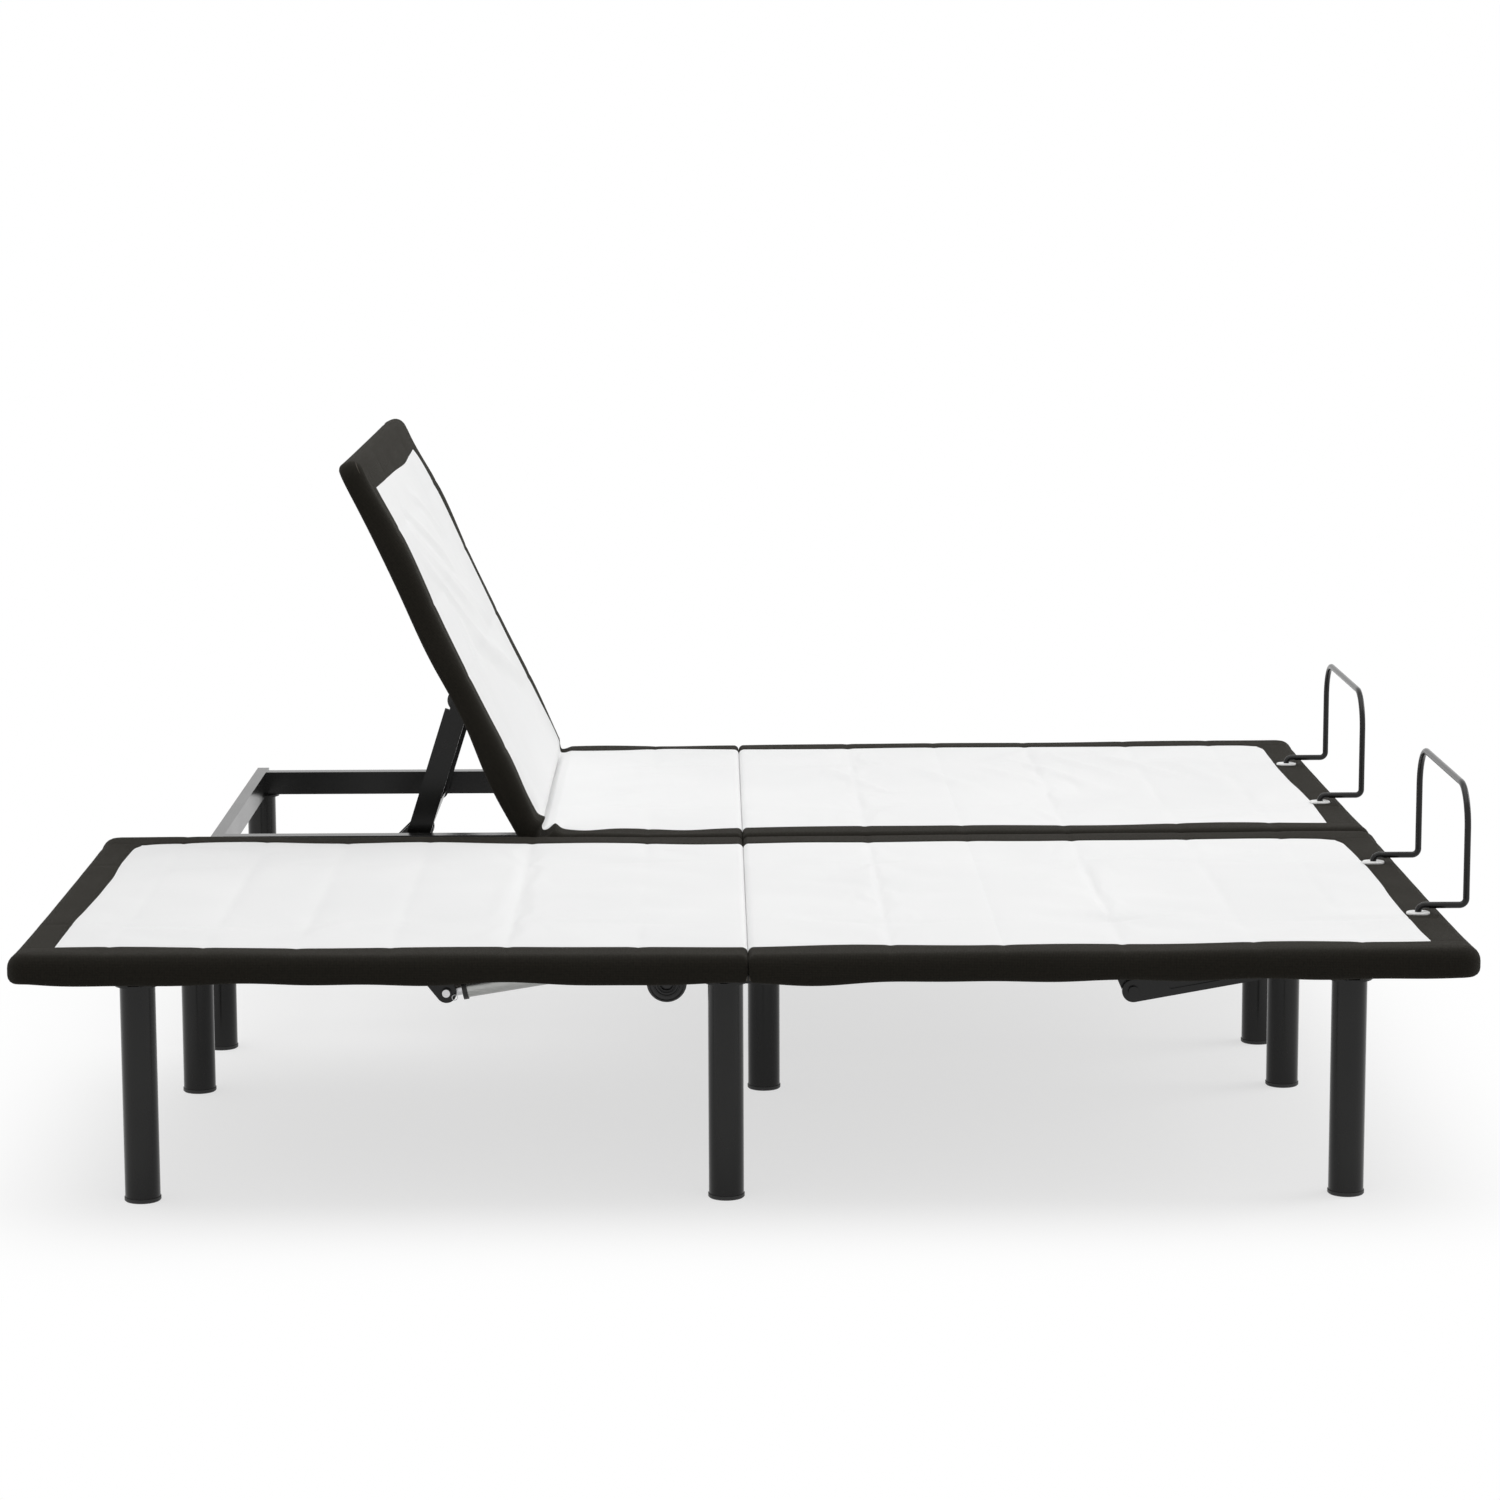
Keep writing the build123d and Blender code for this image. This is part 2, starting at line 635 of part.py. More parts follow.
def make_actuator(closed_length, motor_offset):
    """An actuator lying along +X from its rear eye, with the motor hanging below the gearbox."""
    rear = (0.0, 0.0)
    screw = (gearbox_centre, 0.0)
    motor_place = (gearbox_centre + motor_advance, -motor_offset)
    case = wrapped(disc(screw, gearbox_radius), disc(motor_place, motor_radius + motor_shell))
    housing = plate(case, -gearbox_half, gearbox_half)
    housing = chamfer(housing.edges().group_by(Axis.Y)[0] + housing.edges().group_by(Axis.Y)[-1], gearbox_edge)
    tail = wrapped(disc(rear, tail_radius), disc((tail_length, 0.0), tail_radius + gearbox_edge))
    housing = housing + plate(tail, -actuator_eye_half, actuator_eye_half)
    nose_start = gearbox_centre + gearbox_radius - gearbox_edge
    nose_end = nose_start + nose_length
    housing = housing + Pos(nose_start, 0, 0) * extrude(Plane.YZ * Circle(nose_radius), amount=nose_length)
    housing = housing - bar(rear, pin_radius + running_gap, -actuator_eye_half, actuator_eye_half)

    step = motor_length - 2 * motor_shell
    recess = motor_length - motor_shell
    motor_profile = Polyline(
        (0, 0), (motor_radius, 0), (motor_radius, step),
        (motor_radius - motor_shell, step), (motor_radius - motor_shell, motor_length),
        (motor_ring_outer, motor_length), (motor_ring_outer, recess),
        (motor_ring_inner, recess), (motor_ring_inner, motor_length),
        (0, motor_length), close=True,
    )
    can = revolve(make_face(motor_profile), Axis.Y)
    motor = Pos(motor_place[0], gearbox_half, motor_place[1]) * can

    tube_end = closed_length - outer_tube_end
    tube_ring = Circle(outer_tube_radius) - Circle(outer_tube_bore)
    tube = Pos(nose_end, 0, 0) * extrude(Plane.YZ * tube_ring, amount=tube_end - nose_end)
    wiper_ring = Circle(wiper_radius) - Circle(rod_radius + slide_gap)
    wiper = Pos(tube_end, 0, 0) * extrude(Plane.YZ * wiper_ring, amount=wiper_width)

    rod_start = nose_end + rod_clear
    rod = Pos(rod_start, 0, 0) * extrude(Plane.YZ * Circle(rod_radius), amount=closed_length - rod_start)
    piston = Circle(outer_tube_bore - slide_gap)
    rod = rod + Pos(rod_start, 0, 0) * extrude(Plane.YZ * piston, amount=piston_length)
    eye = (closed_length, 0.0)
    rod = rod + bar(eye, actuator_eye_radius, -actuator_eye_half, actuator_eye_half)
    rod = rod - bar(eye, pin_radius + running_gap, -actuator_eye_half, actuator_eye_half)
    return {"gearbox": [housing, wiper], "motor": [motor], "tube": [tube], "rod": [rod]}


def placed_actuator(rear, angle, closed_length, y_mid, motor_offset):
    """An actuator set on its rear pivot at an angle, rolled about its own length."""
    place = Pos(rear[0], y_mid, rear[1]) * Rot(0, -angle, 0) * Rot(actuator_roll, 0, 0)
    made = make_actuator(closed_length, motor_offset)
    return {name: [place * solid for solid in solids] for name, solids in made.items()}


def make_links():
    """The two swing links, plates that taper to the tip and have a long groove pressed in the outer face."""
    outline = wrapped(disc(link_pivot, link_root_radius), disc(link_tip, link_tip_radius))
    outline = outline - disc(link_pivot, pin_radius + running_gap)
    start = disc(reach(link_pivot, link_groove_start, link_angle), link_groove_radius)
    end = disc(reach(link_pivot, link_groove_end, link_angle), link_groove_tip_radius)
    outside = link_y + link_thickness
    link = plate(outline, link_y, outside) - plate(wrapped(start, end), outside - link_groove_depth, outside)
    return on_both_sides(link)


def make_retainer():
    """The bent rod that keeps the mattress from sliding off the foot end."""
    peg_x = foot_end - retainer_inset
    out_x = foot_end + retainer_overhang
    peg_y = retainer_spacing / 2
    low_z = slat_bottom
    run_z = cover_top + grommet_height + retainer_low_bend
    top_z = cover_top + retainer_height
    corners = [(peg_x, low_z), (peg_x, run_z), (out_x, run_z), (out_x, top_z)]
    points = [(x, -peg_y, z) for x, z in corners] + [(x, peg_y, z) for x, z in reversed(corners)]
    low_bends = [retainer_low_bend, retainer_low_bend]
    bends = low_bends + [retainer_top_bend, retainer_top_bend] + low_bends
    path = FilletPolyline(*points, radius=bends)
    start = Plane(path @ 0, z_dir=path % 0)
    return [sweep(start * Circle(retainer_rod_radius), path=path)]


def peg_holes(radius, z_low, z_high):
    """Round holes where the two legs of the retainer go down through the deck."""
    hole = extrude(Circle(radius), amount=z_high - z_low)
    x = foot_end - retainer_inset
    return [Pos(x, y, z_low) * hole for y in (-retainer_spacing / 2, retainer_spacing / 2)]


def make_grommets():
    """Oval grommets that line the retainer's holes in the cover."""
    flange = extrude(SlotOverall(grommet_length, grommet_width), amount=grommet_height)
    flange = fillet(flange.edges().group_by(Axis.Z)[-1], grommet_height / 2)
    sleeve = extrude(Circle(grommet_sleeve_radius), amount=-(cover_top - slat_top))
    bore = Pos(0, 0, slat_top - cover_top) * extrude(
        Circle(retainer_rod_radius + running_gap), amount=cover_top - slat_top + grommet_height
    )
    grommet = flange + sleeve - bore
    x = foot_end - retainer_inset
    return [Pos(x, y, cover_top) * grommet for y in (-retainer_spacing / 2, retainer_spacing / 2)]


def make_control_box():
    """The electronics box under the upper seat panel, with round sockets along one side."""
    x_high = seam_x - box_inset_x
    y_high = rail_inner_y - box_rail_gap
    y_low = y_high - box_width
    box = block(x_high - box_length, x_high, y_low, y_high, slat_bottom - box_height, slat_bottom)
    box = fillet(box.edges().filter_by(Axis.Z) + box.faces().sort_by(Axis.Z)[0].edges(), box_edge)
    socket_z = slat_bottom - box_height / 2
    pitch = (box_length - 2 * box_edge) / socket_count
    for i in range(socket_count):
        x = x_high - box_edge - (i + 0.5) * pitch
        box = box - bar((x, socket_z), socket_radius, y_low, y_low + socket_depth)
    return [box]


def make_half():
    """Every piece of one half lying flat about Y = 0: the fixed frame, and the pieces that move by body."""
    legs, flanges, glides = make_legs()
    side_rails, cross_rails = make_rails()
    panel_gap = seam_panel_gap / 2
    panel_end = cover_side + cover_gap
    seat = slatted_panel(head_hinge_x + head_panel_setback, seam_x - panel_gap)
    seat += slatted_panel(seam_x + panel_gap, thigh_hinge_x - thigh_panel_setback)
    fixed = {
        "legs": legs,
        "leg_flanges": flanges,
        "leg_glides": glides,
        "side_rails": side_rails,
        "cross_rails": cross_rails,
        "fold_plates": make_fold_plates(),
        "frame_brackets": make_brackets(),
        "frame_pins": make_pins(),
        "seat_decks": seat,
        "control_boxes": make_control_box(),
    }

    seam_gap = seam_cover_gap / 2
    seat_cover = padded_cover(head_hinge_x + head_cover_setback, seam_x - seam_gap)
    seat_cover += padded_cover(seam_x + seam_gap, thigh_hinge_x - thigh_cover_setback)
    head_lift = make_lift(
        head_lift_pivot, head_arm_length, head_arm_angle,
        head_lever_flat, head_lever_elbow, head_actuator_offset,
    )
    foot_lift = make_lift(
        foot_lift_pivot, foot_arm_length, foot_arm_angle,
        foot_lever_flat, foot_lift_pivot, foot_actuator_offset,
    )
    head_drive = placed_actuator(
        head_rear, head_closed_angle, head_closed, head_actuator_offset, head_motor_offset
    )
    foot_drive = placed_actuator(
        foot_rear, foot_closed_angle, foot_closed, foot_actuator_offset, foot_motor_offset
    )
    leg_cover = padded_cover(knee_x + knee_cover_setback, foot_end, 1)
    for hole in peg_holes(grommet_sleeve_radius + cover_gap, cover_bottom, cover_top + cover_crown):
        leg_cover[0] = leg_cover[0] - hole
    leg_deck = slatted_panel(knee_x + knee_panel_setback, foot_end - panel_end, 1)
    for hole in peg_holes(retainer_rod_radius + running_gap, batten_bottom, slat_top):
        leg_deck = [solid - hole for solid in leg_deck]

    moving = {
        "seat": {"seat_cover": seat_cover},
        "head": {
            "head_deck": slatted_panel(head_end + panel_end, head_hinge_x - head_panel_setback, -1),
            "head_cover": padded_cover(head_end, head_hinge_x - head_cover_setback, -1),
            "head_frame": make_head_frame(),
        },
        "head_lift": {"head_lift": head_lift},
        "head_rollers": {"head_rollers": make_rollers(head_lift_pivot, head_arm_length, head_arm_angle)},
        "head_actuator": {
            "head_gearbox": head_drive["gearbox"],
            "head_motor": head_drive["motor"],
            "head_tube": head_drive["tube"],
        },
        "head_rod": {"head_rod": head_drive["rod"]},
        "thigh": {
            "thigh_deck": slatted_panel(thigh_hinge_x + thigh_panel_setback, knee_x - knee_panel_setback),
            "thigh_cover": padded_cover(thigh_hinge_x + thigh_cover_setback, knee_x - knee_cover_setback),
            "thigh_frame": make_thigh_frame(),
        },
        "leg": {
            "leg_deck": leg_deck,
            "leg_cover": leg_cover,
            "leg_frame": make_leg_frame(),
            "retainer_bar": make_retainer(),
            "retainer_grommets": make_grommets(),
        },
        "leg_links": {"leg_links": make_links()},
        "foot_lift": {"foot_lift": foot_lift},
        "foot_rollers": {"foot_rollers": make_rollers(foot_lift_pivot, foot_arm_length, foot_arm_angle)},
        "foot_actuator": {
            "foot_gearbox": foot_drive["gearbox"],
            "foot_motor": foot_drive["motor"],
            "foot_tube": foot_drive["tube"],
        },
        "foot_rod": {"foot_rod": foot_drive["rod"]},
    }
    return fixed, moving


def turned(solid, pivot, angle):
    """A piece turned about a pivot in X and Z. A positive angle lifts what points to the head end."""
    return solid.rotate(Axis((pivot[0], 0, pivot[1]), (0, 1, 0)), angle)


def raised_head(body, solid):
    """A piece of a half moved to where it stands when the head section is fully raised."""
    if body == "head":
        return turned(solid, head_pivot, head_tilt)
    if body in ("head_lift", "head_rollers"):
        return turned(solid, head_lift_pivot, head_lift_turn)
    if body == "head_actuator":
        return turned(solid, head_rear, head_swing)
    if body == "head_rod":
        step = direction(head_closed_angle)
        slid = Pos(head_stroke * step[0], 0, head_stroke * step[1]) * solid
        return turned(slid, head_rear, head_swing)
    return solid


def make_nodes():
    """All nodes as lists of solids: shared ones for the fixed frame, and one set for each half."""
    fixed, moving = make_half()
    nodes = {}
    for side, y_mid in (("left", half_width / 2), ("right", -half_width / 2)):
        across = Pos(0, y_mid, 0)
        for name, solids in fixed.items():
            nodes.setdefault(name, []).extend(across * solid for solid in solids)
        for body, pieces in moving.items():
            for name, solids in pieces.items():
                if side == "left":
                    solids = [raised_head(body, solid) for solid in solids]
                nodes[side + "_" + name] = [across * solid for solid in solids]
    return nodes


def main():
    """Write every node to its own file."""
    os.makedirs("parts", exist_ok=True)
    for name, solids in make_nodes().items():
        shape = solids[0] if len(solids) == 1 else Compound(children=solids)
        export_step(shape, f"parts/{name}.step")
    print(f"head lift turns {head_lift_turn:.2f} stroke {head_stroke:.1f} swing {head_swing:.2f}")
    print(f"foot lift turns {foot_lift_turn:.2f} stroke {foot_stroke:.1f} swing {foot_swing:.2f}")
    print(f"leg turns {leg_turn:.2f} slope {leg_slope:.2f} links turn {link_turn:.2f}")


if __name__ == "__main__":
    main()
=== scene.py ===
# %% [markdown]
# # Dressing an adjustable bed base
# Two long single bases stand side by side. The steel, the decks and the drives come from the CAD model,
# which this script loads as a fixed frame. What is left for Blender is the cloth, the finishes, the light
# and the camera.

# %% Load the frame
import json
import math

import bpy
import numpy as np
from mathutils import Matrix, Vector

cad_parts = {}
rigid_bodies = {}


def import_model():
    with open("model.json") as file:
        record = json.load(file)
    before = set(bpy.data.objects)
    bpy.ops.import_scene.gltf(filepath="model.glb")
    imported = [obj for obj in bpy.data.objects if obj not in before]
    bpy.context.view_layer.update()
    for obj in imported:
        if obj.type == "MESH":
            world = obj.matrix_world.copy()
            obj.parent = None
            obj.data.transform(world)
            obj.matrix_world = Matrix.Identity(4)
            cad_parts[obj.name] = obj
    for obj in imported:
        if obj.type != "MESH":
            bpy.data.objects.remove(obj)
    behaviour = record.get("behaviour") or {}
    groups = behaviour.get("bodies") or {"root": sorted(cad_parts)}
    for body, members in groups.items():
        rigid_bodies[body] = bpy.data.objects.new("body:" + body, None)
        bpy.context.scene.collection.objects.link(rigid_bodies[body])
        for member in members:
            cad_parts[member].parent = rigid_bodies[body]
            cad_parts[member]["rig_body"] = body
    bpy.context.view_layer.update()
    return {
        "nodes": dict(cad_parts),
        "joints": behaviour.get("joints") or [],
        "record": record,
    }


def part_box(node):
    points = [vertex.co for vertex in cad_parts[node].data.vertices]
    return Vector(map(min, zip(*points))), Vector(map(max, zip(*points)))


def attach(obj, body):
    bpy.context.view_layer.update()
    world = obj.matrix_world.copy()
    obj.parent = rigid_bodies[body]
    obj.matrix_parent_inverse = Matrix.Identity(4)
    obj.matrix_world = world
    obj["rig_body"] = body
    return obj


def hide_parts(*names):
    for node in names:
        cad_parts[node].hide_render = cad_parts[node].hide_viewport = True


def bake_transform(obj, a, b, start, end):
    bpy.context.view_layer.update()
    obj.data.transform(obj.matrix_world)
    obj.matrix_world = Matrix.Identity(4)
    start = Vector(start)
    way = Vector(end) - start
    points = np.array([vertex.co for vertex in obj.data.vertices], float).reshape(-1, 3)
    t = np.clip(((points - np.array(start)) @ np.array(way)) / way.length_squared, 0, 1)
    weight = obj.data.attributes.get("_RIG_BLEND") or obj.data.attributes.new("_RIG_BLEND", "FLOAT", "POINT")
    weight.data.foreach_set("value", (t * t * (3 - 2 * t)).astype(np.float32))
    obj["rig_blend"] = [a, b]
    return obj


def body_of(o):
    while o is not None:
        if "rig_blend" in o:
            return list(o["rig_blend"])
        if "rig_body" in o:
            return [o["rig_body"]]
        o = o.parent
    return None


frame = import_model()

nodes = frame["nodes"]
joints = {joint["name"]: joint for joint in frame["joints"]}

# %% [markdown]
# ## Camera
# The photograph was taken from the bed's long side with a long lens, a little above the deck. A camera looks
# straight down at first, so it is lifted to level and then turned by a yaw, a pitch and a roll. Aiming it by
# eye would also do, but these numbers mean something when they are adjusted.

# %% Camera
camera_place = Vector((-0.0580, -6.4950, 1.5228))
camera_yaw = math.radians(0.527)
camera_pitch = math.radians(8.811)
camera_roll = math.radians(-0.199)
camera_lens = 98.704
camera_sensor = 36.0
camera_sight = 200.0


def added(name, data):
    """A new object in the scene: a mesh, a camera or a light."""
    piece = bpy.data.objects.new(name, data)
    bpy.context.scene.collection.objects.link(piece)
    return piece


def aimed_camera(place, yaw, pitch, roll):
    """A camera that looks along +Y, turned by yaw, lowered by pitch and tipped by roll."""
    data = bpy.data.cameras.new("camera")
    data.sensor_width = camera_sensor
    data.lens = camera_lens
    data.clip_end = camera_sight
    pose = Matrix.Translation(place)
    for angle, axis in ((-yaw, "Z"), (math.pi / 2 - pitch, "X"), (roll, "Z")):
        pose = pose @ Matrix.Rotation(angle, 4, axis)
    camera = added("camera", data)
    camera.matrix_world = pose
    return camera


bpy.context.scene.camera = aimed_camera(camera_place, camera_yaw, camera_pitch, camera_roll)
print("camera at", [round(v, 3) for v in camera_place])

# %% [markdown]
# ## A small kit for materials
# Every finish here is one Principled shader with a few textures in front of it. A few helpers keep those
# short: they start a material, add and join nodes, and turn a texture into colour, roughness or a bump.

# %% Material kit


def new_finish(name, **settings):
    """A material with one Principled shader. Settings are the shader's own sockets, by name."""
    material = bpy.data.materials.new(name)
    material.use_nodes = True
    shader = material.node_tree.nodes["Principled BSDF"]
    for socket, value in settings.items():
        shader.inputs[socket.replace("_", " ")].default_value = value
    return material


def add_node(material, kind, links=(), **settings):
    """A node of that kind. Settings name its properties or its sockets, links join sockets to outputs."""
    node = material.node_tree.nodes.new("ShaderNode" + kind)
    for name, value in settings.items():
        if hasattr(node, name):
            setattr(node, name, value)
        else:
            node.inputs[name.replace("_", " ")].default_value = value
    for socket, output in links:
        material.node_tree.links.new(output, node.inputs[socket])
    return node


def feed(material, socket, output):
    """A link from an output to a socket of the material's shader."""
    shader = material.node_tree.nodes["Principled BSDF"]
    material.node_tree.links.new(output, shader.inputs[socket])


def two_tones(material, factor, dark, light, low=0.3, high=0.7):
    """A ramp from one colour to another, driven by a texture."""
    ramp = add_node(material, "ValToRGB", [("Fac", factor)])
    for stop, position, colour in zip(ramp.color_ramp.elements, (low, high), (dark, light)):
        stop.position = position
        stop.color = (*colour, 1.0)
    return ramp.outputs["Color"]


def coloured(material, texture, dark, light, rough):
    """Colour and roughness that both follow one texture, each between two values."""
    feed(material, "Base Color", two_tones(material, texture, dark, light))
    level = add_node(material, "MapRange", [("Value", texture)], To_Min=rough[0], To_Max=rough[1])
    feed(material, "Roughness", level.outputs["Result"])


def bump(material, height, strength, depth):
    """Small relief from a texture, depth in metres."""
    node = add_node(material, "Bump", [("Height", height)], Strength=strength, Distance=depth)
    feed(material, "Normal", node.outputs["Normal"])


def noise_at(material, place, scale, detail):
    """Noise in the given coordinates."""
    return add_node(material, "TexNoise", [("Vector", place)], Scale=scale, Detail=detail).outputs["Fac"]


def object_noise(material, scale, detail=3.0, stretch=(1.0, 1.0, 1.0)):
    """Noise in the object's own coordinates, drawn out along an axis by stretch."""
    place = add_node(material, "TexCoord")
    mapping = add_node(material, "Mapping", [("Vector", place.outputs["Object"])], Scale=stretch)
    return noise_at(material, mapping.outputs["Vector"], scale, detail)


print("material kit ready")

# %% [markdown]
# ## Metal and plastic finishes
# The frame is black powder-coated steel: nearly black, semi-gloss, with the faint orange peel of baked
# powder. A plain black would look like a hole, so the colour and the roughness both wander a little with
# noise.

# %% Metal and plastic


def black_coat():
    """Semi-gloss black powder coat with a fine orange peel."""
    material = new_finish("black_coat", IOR=1.36)
    patches = object_noise(material, scale=9.0)
    coloured(material, patches, (0.0065, 0.0065, 0.0060), (0.0105, 0.0105, 0.0098), rough=(0.17, 0.25))
    bump(material, object_noise(material, scale=900.0, detail=1.0), strength=0.05, depth=0.0003)
    return material


def brushed_metal(name, dark, light, stretch):
    """Bright metal with fine lines drawn out along its length."""
    material = new_finish(name, Metallic=1.0)
    lines = object_noise(material, scale=60.0, detail=4.0, stretch=stretch)
    coloured(material, lines, dark, light, rough=(0.24, 0.40))
    bump(material, lines, strength=0.08, depth=0.0004)
    return material


def moulded_plastic(name, dark, light, rough):
    """Moulded plastic with a fine grain."""
    material = new_finish(name, IOR=1.5)
    coloured(material, object_noise(material, scale=14.0), dark, light, rough)
    bump(material, object_noise(material, scale=700.0, detail=2.0), strength=0.15, depth=0.0003)
    return material


def deck_plywood():
    """Dark-stained plywood slats with grain that runs across the bed."""
    material = new_finish("deck_plywood", IOR=1.45)
    grain = object_noise(material, scale=30.0, detail=6.0, stretch=(6.0, 0.35, 6.0))
    coloured(material, grain, (0.045, 0.036, 0.027), (0.085, 0.070, 0.055), rough=(0.52, 0.70))
    bump(material, grain, strength=0.25, depth=0.0006)
    return material


finishes = {"black_steel": black_coat()}
for name, dark, light, stretch in [
        ("bright_steel", (0.52, 0.52, 0.53), (0.72, 0.72, 0.73), (1.0, 14.0, 1.0)),
        ("bright_aluminium", (0.34, 0.345, 0.335), (0.47, 0.475, 0.46), (1.0, 9.0, 9.0))]:
    finishes[name] = brushed_metal(name, dark, light, stretch)
for name, dark, light, rough in [
        ("black_plastic", (0.005, 0.005, 0.005), (0.010, 0.010, 0.0095), (0.38, 0.52)),
        ("roller_plastic", (0.022, 0.022, 0.022), (0.038, 0.038, 0.037), (0.40, 0.55)),
        ("white_plastic", (0.80, 0.80, 0.79), (0.88, 0.88, 0.87), (0.30, 0.42))]:
    finishes[name] = moulded_plastic(name, dark, light, rough)
finishes["deck_wood"] = deck_plywood()
print("finishes", ", ".join(finishes))

# %% [markdown]
# ## Cloth finishes
# The top is a white non-woven cloth with very fine fibres. The border is a dark, coarse weave, brown-black
# with a soft sheen. The weave is two sets of bands in the cloth's own flat coordinates, so the threads
# follow the fold over the edge, as they do on the real cover. Blender's wave texture turns by 20 radians
# per metre at a scale of 1, which gives the scale for a real thread pitch.

# %% Cloth
thread_pitch = 0.0021
wave_turn = 20.0


def weave_bands(material, flat, turn):
    """One set of threads: soft bands across the cloth's flat coordinates."""
    mapping = add_node(material, "Mapping", [("Vector", flat)], Rotation=(0.0, 0.0, turn))
    bands = add_node(material, "TexWave", [("Vector", mapping.outputs["Vector"])],
                     Scale=2.0 * math.pi / (wave_turn * thread_pitch), Distortion=1.4, Detail=1.0,
                     Detail_Scale=1.2)
    return bands.outputs["Fac"]


def border_weave():
    """Dark woven border cloth with slubs and a soft sheen."""
    material = new_finish("border_weave", Roughness=0.88, Sheen_Weight=0.055, Sheen_Roughness=0.40,
                          Sheen_Tint=(0.62, 0.57, 0.46, 1.0), Specular_IOR_Level=0.15)
    flat = add_node(material, "UVMap").outputs["UV"]
    weft = weave_bands(material, flat, 0.0)
    warp = weave_bands(material, flat, math.pi / 2)
    cross = add_node(material, "Math", [(0, weft), (1, warp)], operation="MULTIPLY").outputs["Value"]
    slub = noise_at(material, flat, scale=240.0, detail=3.0)
    mixed = add_node(material, "Math", [(0, cross), (1, slub)], operation="ADD").outputs["Value"]
    tone = two_tones(material, mixed, dark=(0.0050, 0.0043, 0.0030), light=(0.0142, 0.0123, 0.0086),
                     low=0.25, high=1.0)
    feed(material, "Base Color", tone)
    bump(material, mixed, strength=0.55, depth=0.0008)
    return material


def white_fleece():
    """White non-woven top cloth with fine fibres."""
    material = new_finish("white_fleece", Roughness=0.82, Sheen_Weight=0.10, Sheen_Roughness=0.6,
                          Specular_IOR_Level=0.2)
    flat = add_node(material, "UVMap").outputs["UV"]
    clouds = noise_at(material, flat, scale=3.0, detail=2.0)
    feed(material, "Base Color", two_tones(material, clouds, (0.855, 0.857, 0.857), (0.885, 0.886, 0.885)))
    bump(material, noise_at(material, flat, scale=420.0, detail=5.0), strength=0.18, depth=0.0005)
    return material


cloth_finishes = [white_fleece(), border_weave()]
print("cloth", [material.name for material in cloth_finishes])

# %% [markdown]
# ## Finishes on the CAD pieces
# The record says which finish each piece has, so one loop dresses all of them; the slot that is not in the
# list is the cloth. Flat-shaded CAD curves show their facets, so faces that meet at a small angle are shaded
# as one smooth surface.

# %% Dress the CAD pieces
smooth_angle = math.radians(32.0)
for part in frame["record"]["subparts"]:
    piece = nodes[part["node"]]
    piece.data.materials.clear()
    piece.data.materials.append(finishes.get(part["material_slot"], cloth_finishes[0]))
    piece.data.set_sharp_from_angle(angle=smooth_angle)

# %% [markdown]
# ## Sizes of the covers
# A cover is cut to its deck, so its sizes are read from the CAD boxes of the flat half. The two halves are
# the same, and so the raised half is drawn flat first and bent afterwards.

# %% Cover sizes
side_signs = {"left": 1.0, "right": -1.0}
seat_low, seat_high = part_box("right_seat_cover")
head_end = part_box("right_head_cover")[0].x
foot_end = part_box("right_leg_cover")[1].x
cover_top = seat_high.z
cover_depth = seat_high.z - seat_low.z
half_middle = abs(seat_low.y + seat_high.y) / 2
half_reach = (seat_high.y - seat_low.y) / 2
print("cover", round(foot_end - head_end, 3), "x", round(2 * half_reach, 3), "depth", round(cover_depth, 4))

# %% [markdown]
# ## Where the slats part
# The cloth sinks a little between two slats, and the cover's own seams lie on such gaps. They are found in
# the CAD meshes, between the slat tops on the middle line of the flat half. The seam between the upper and
# the lower cover is the gap nearest to the middle of the bed.

# %% Slat lines
level_tolerance = 0.0005
least_gap = 0.001


def top_spans(node):
    """Where, along X, a slat's top crosses the middle line of the flat half."""
    mesh = nodes[node].data
    top = max(vertex.co.z for vertex in mesh.vertices)
    for face in mesh.polygons:
        corners = [mesh.vertices[index].co for index in face.vertices]
        across = [corner.y + half_middle for corner in corners]
        if min(corner.z for corner in corners) > top - level_tolerance and min(across) < 0.0 < max(across):
            yield min(corner.x for corner in corners), max(corner.x for corner in corners)


flat_decks = ["right_head_deck", "seat_decks", "right_thigh_deck", "right_leg_deck"]
slat_spans = sorted(span for deck in flat_decks for span in top_spans(deck))
slat_lines = [(before[1] + after[0]) / 2 for before, after in zip(slat_spans, slat_spans[1:])
              if after[0] > before[1] + least_gap]
seam_x = min(slat_lines, key=abs)
head_hinge, thigh_hinge, knee_hinge = (Vector(joints[f"right_{name}"]["pos_m"])
                                       for name in ("head_tilt", "thigh_tilt", "knee_bend"))
thigh_split = min(slat_lines, key=lambda line: abs(line - (thigh_hinge.x + knee_hinge.x) / 2))
print(len(slat_lines), "slat lines, seam", round(seam_x, 4), "thigh split", round(thigh_split, 4))

# %% [markdown]
# ## How the cloth goes over an edge
# A fitted cover lies flat, rolls over the deck's edge, drops down its side and turns under it to a hem.
# Seen from the end, that is one profile: a reach outward and a drop, ring by ring. At the middle seam the
# cloth only rolls down into the gap. Writing the profile as arcs and straight runs keeps every radius a
# real size.

# %% Edge profiles
flat_rings, shoulder_rings, side_rings, low_rings, hem_rings = 2, 6, 3, 4, 2
edge_inset = 0.030
edge_shoulder = 0.019
edge_low = 0.011
hem_width = 0.013
hem_hang = 0.003
seam_inset = 0.012
seam_shoulder = 0.009
seam_depth = 0.030


def steps(start, stop, count):
    """Even steps from start to stop, without the start."""
    return np.linspace(start, stop, count + 1)[1:]


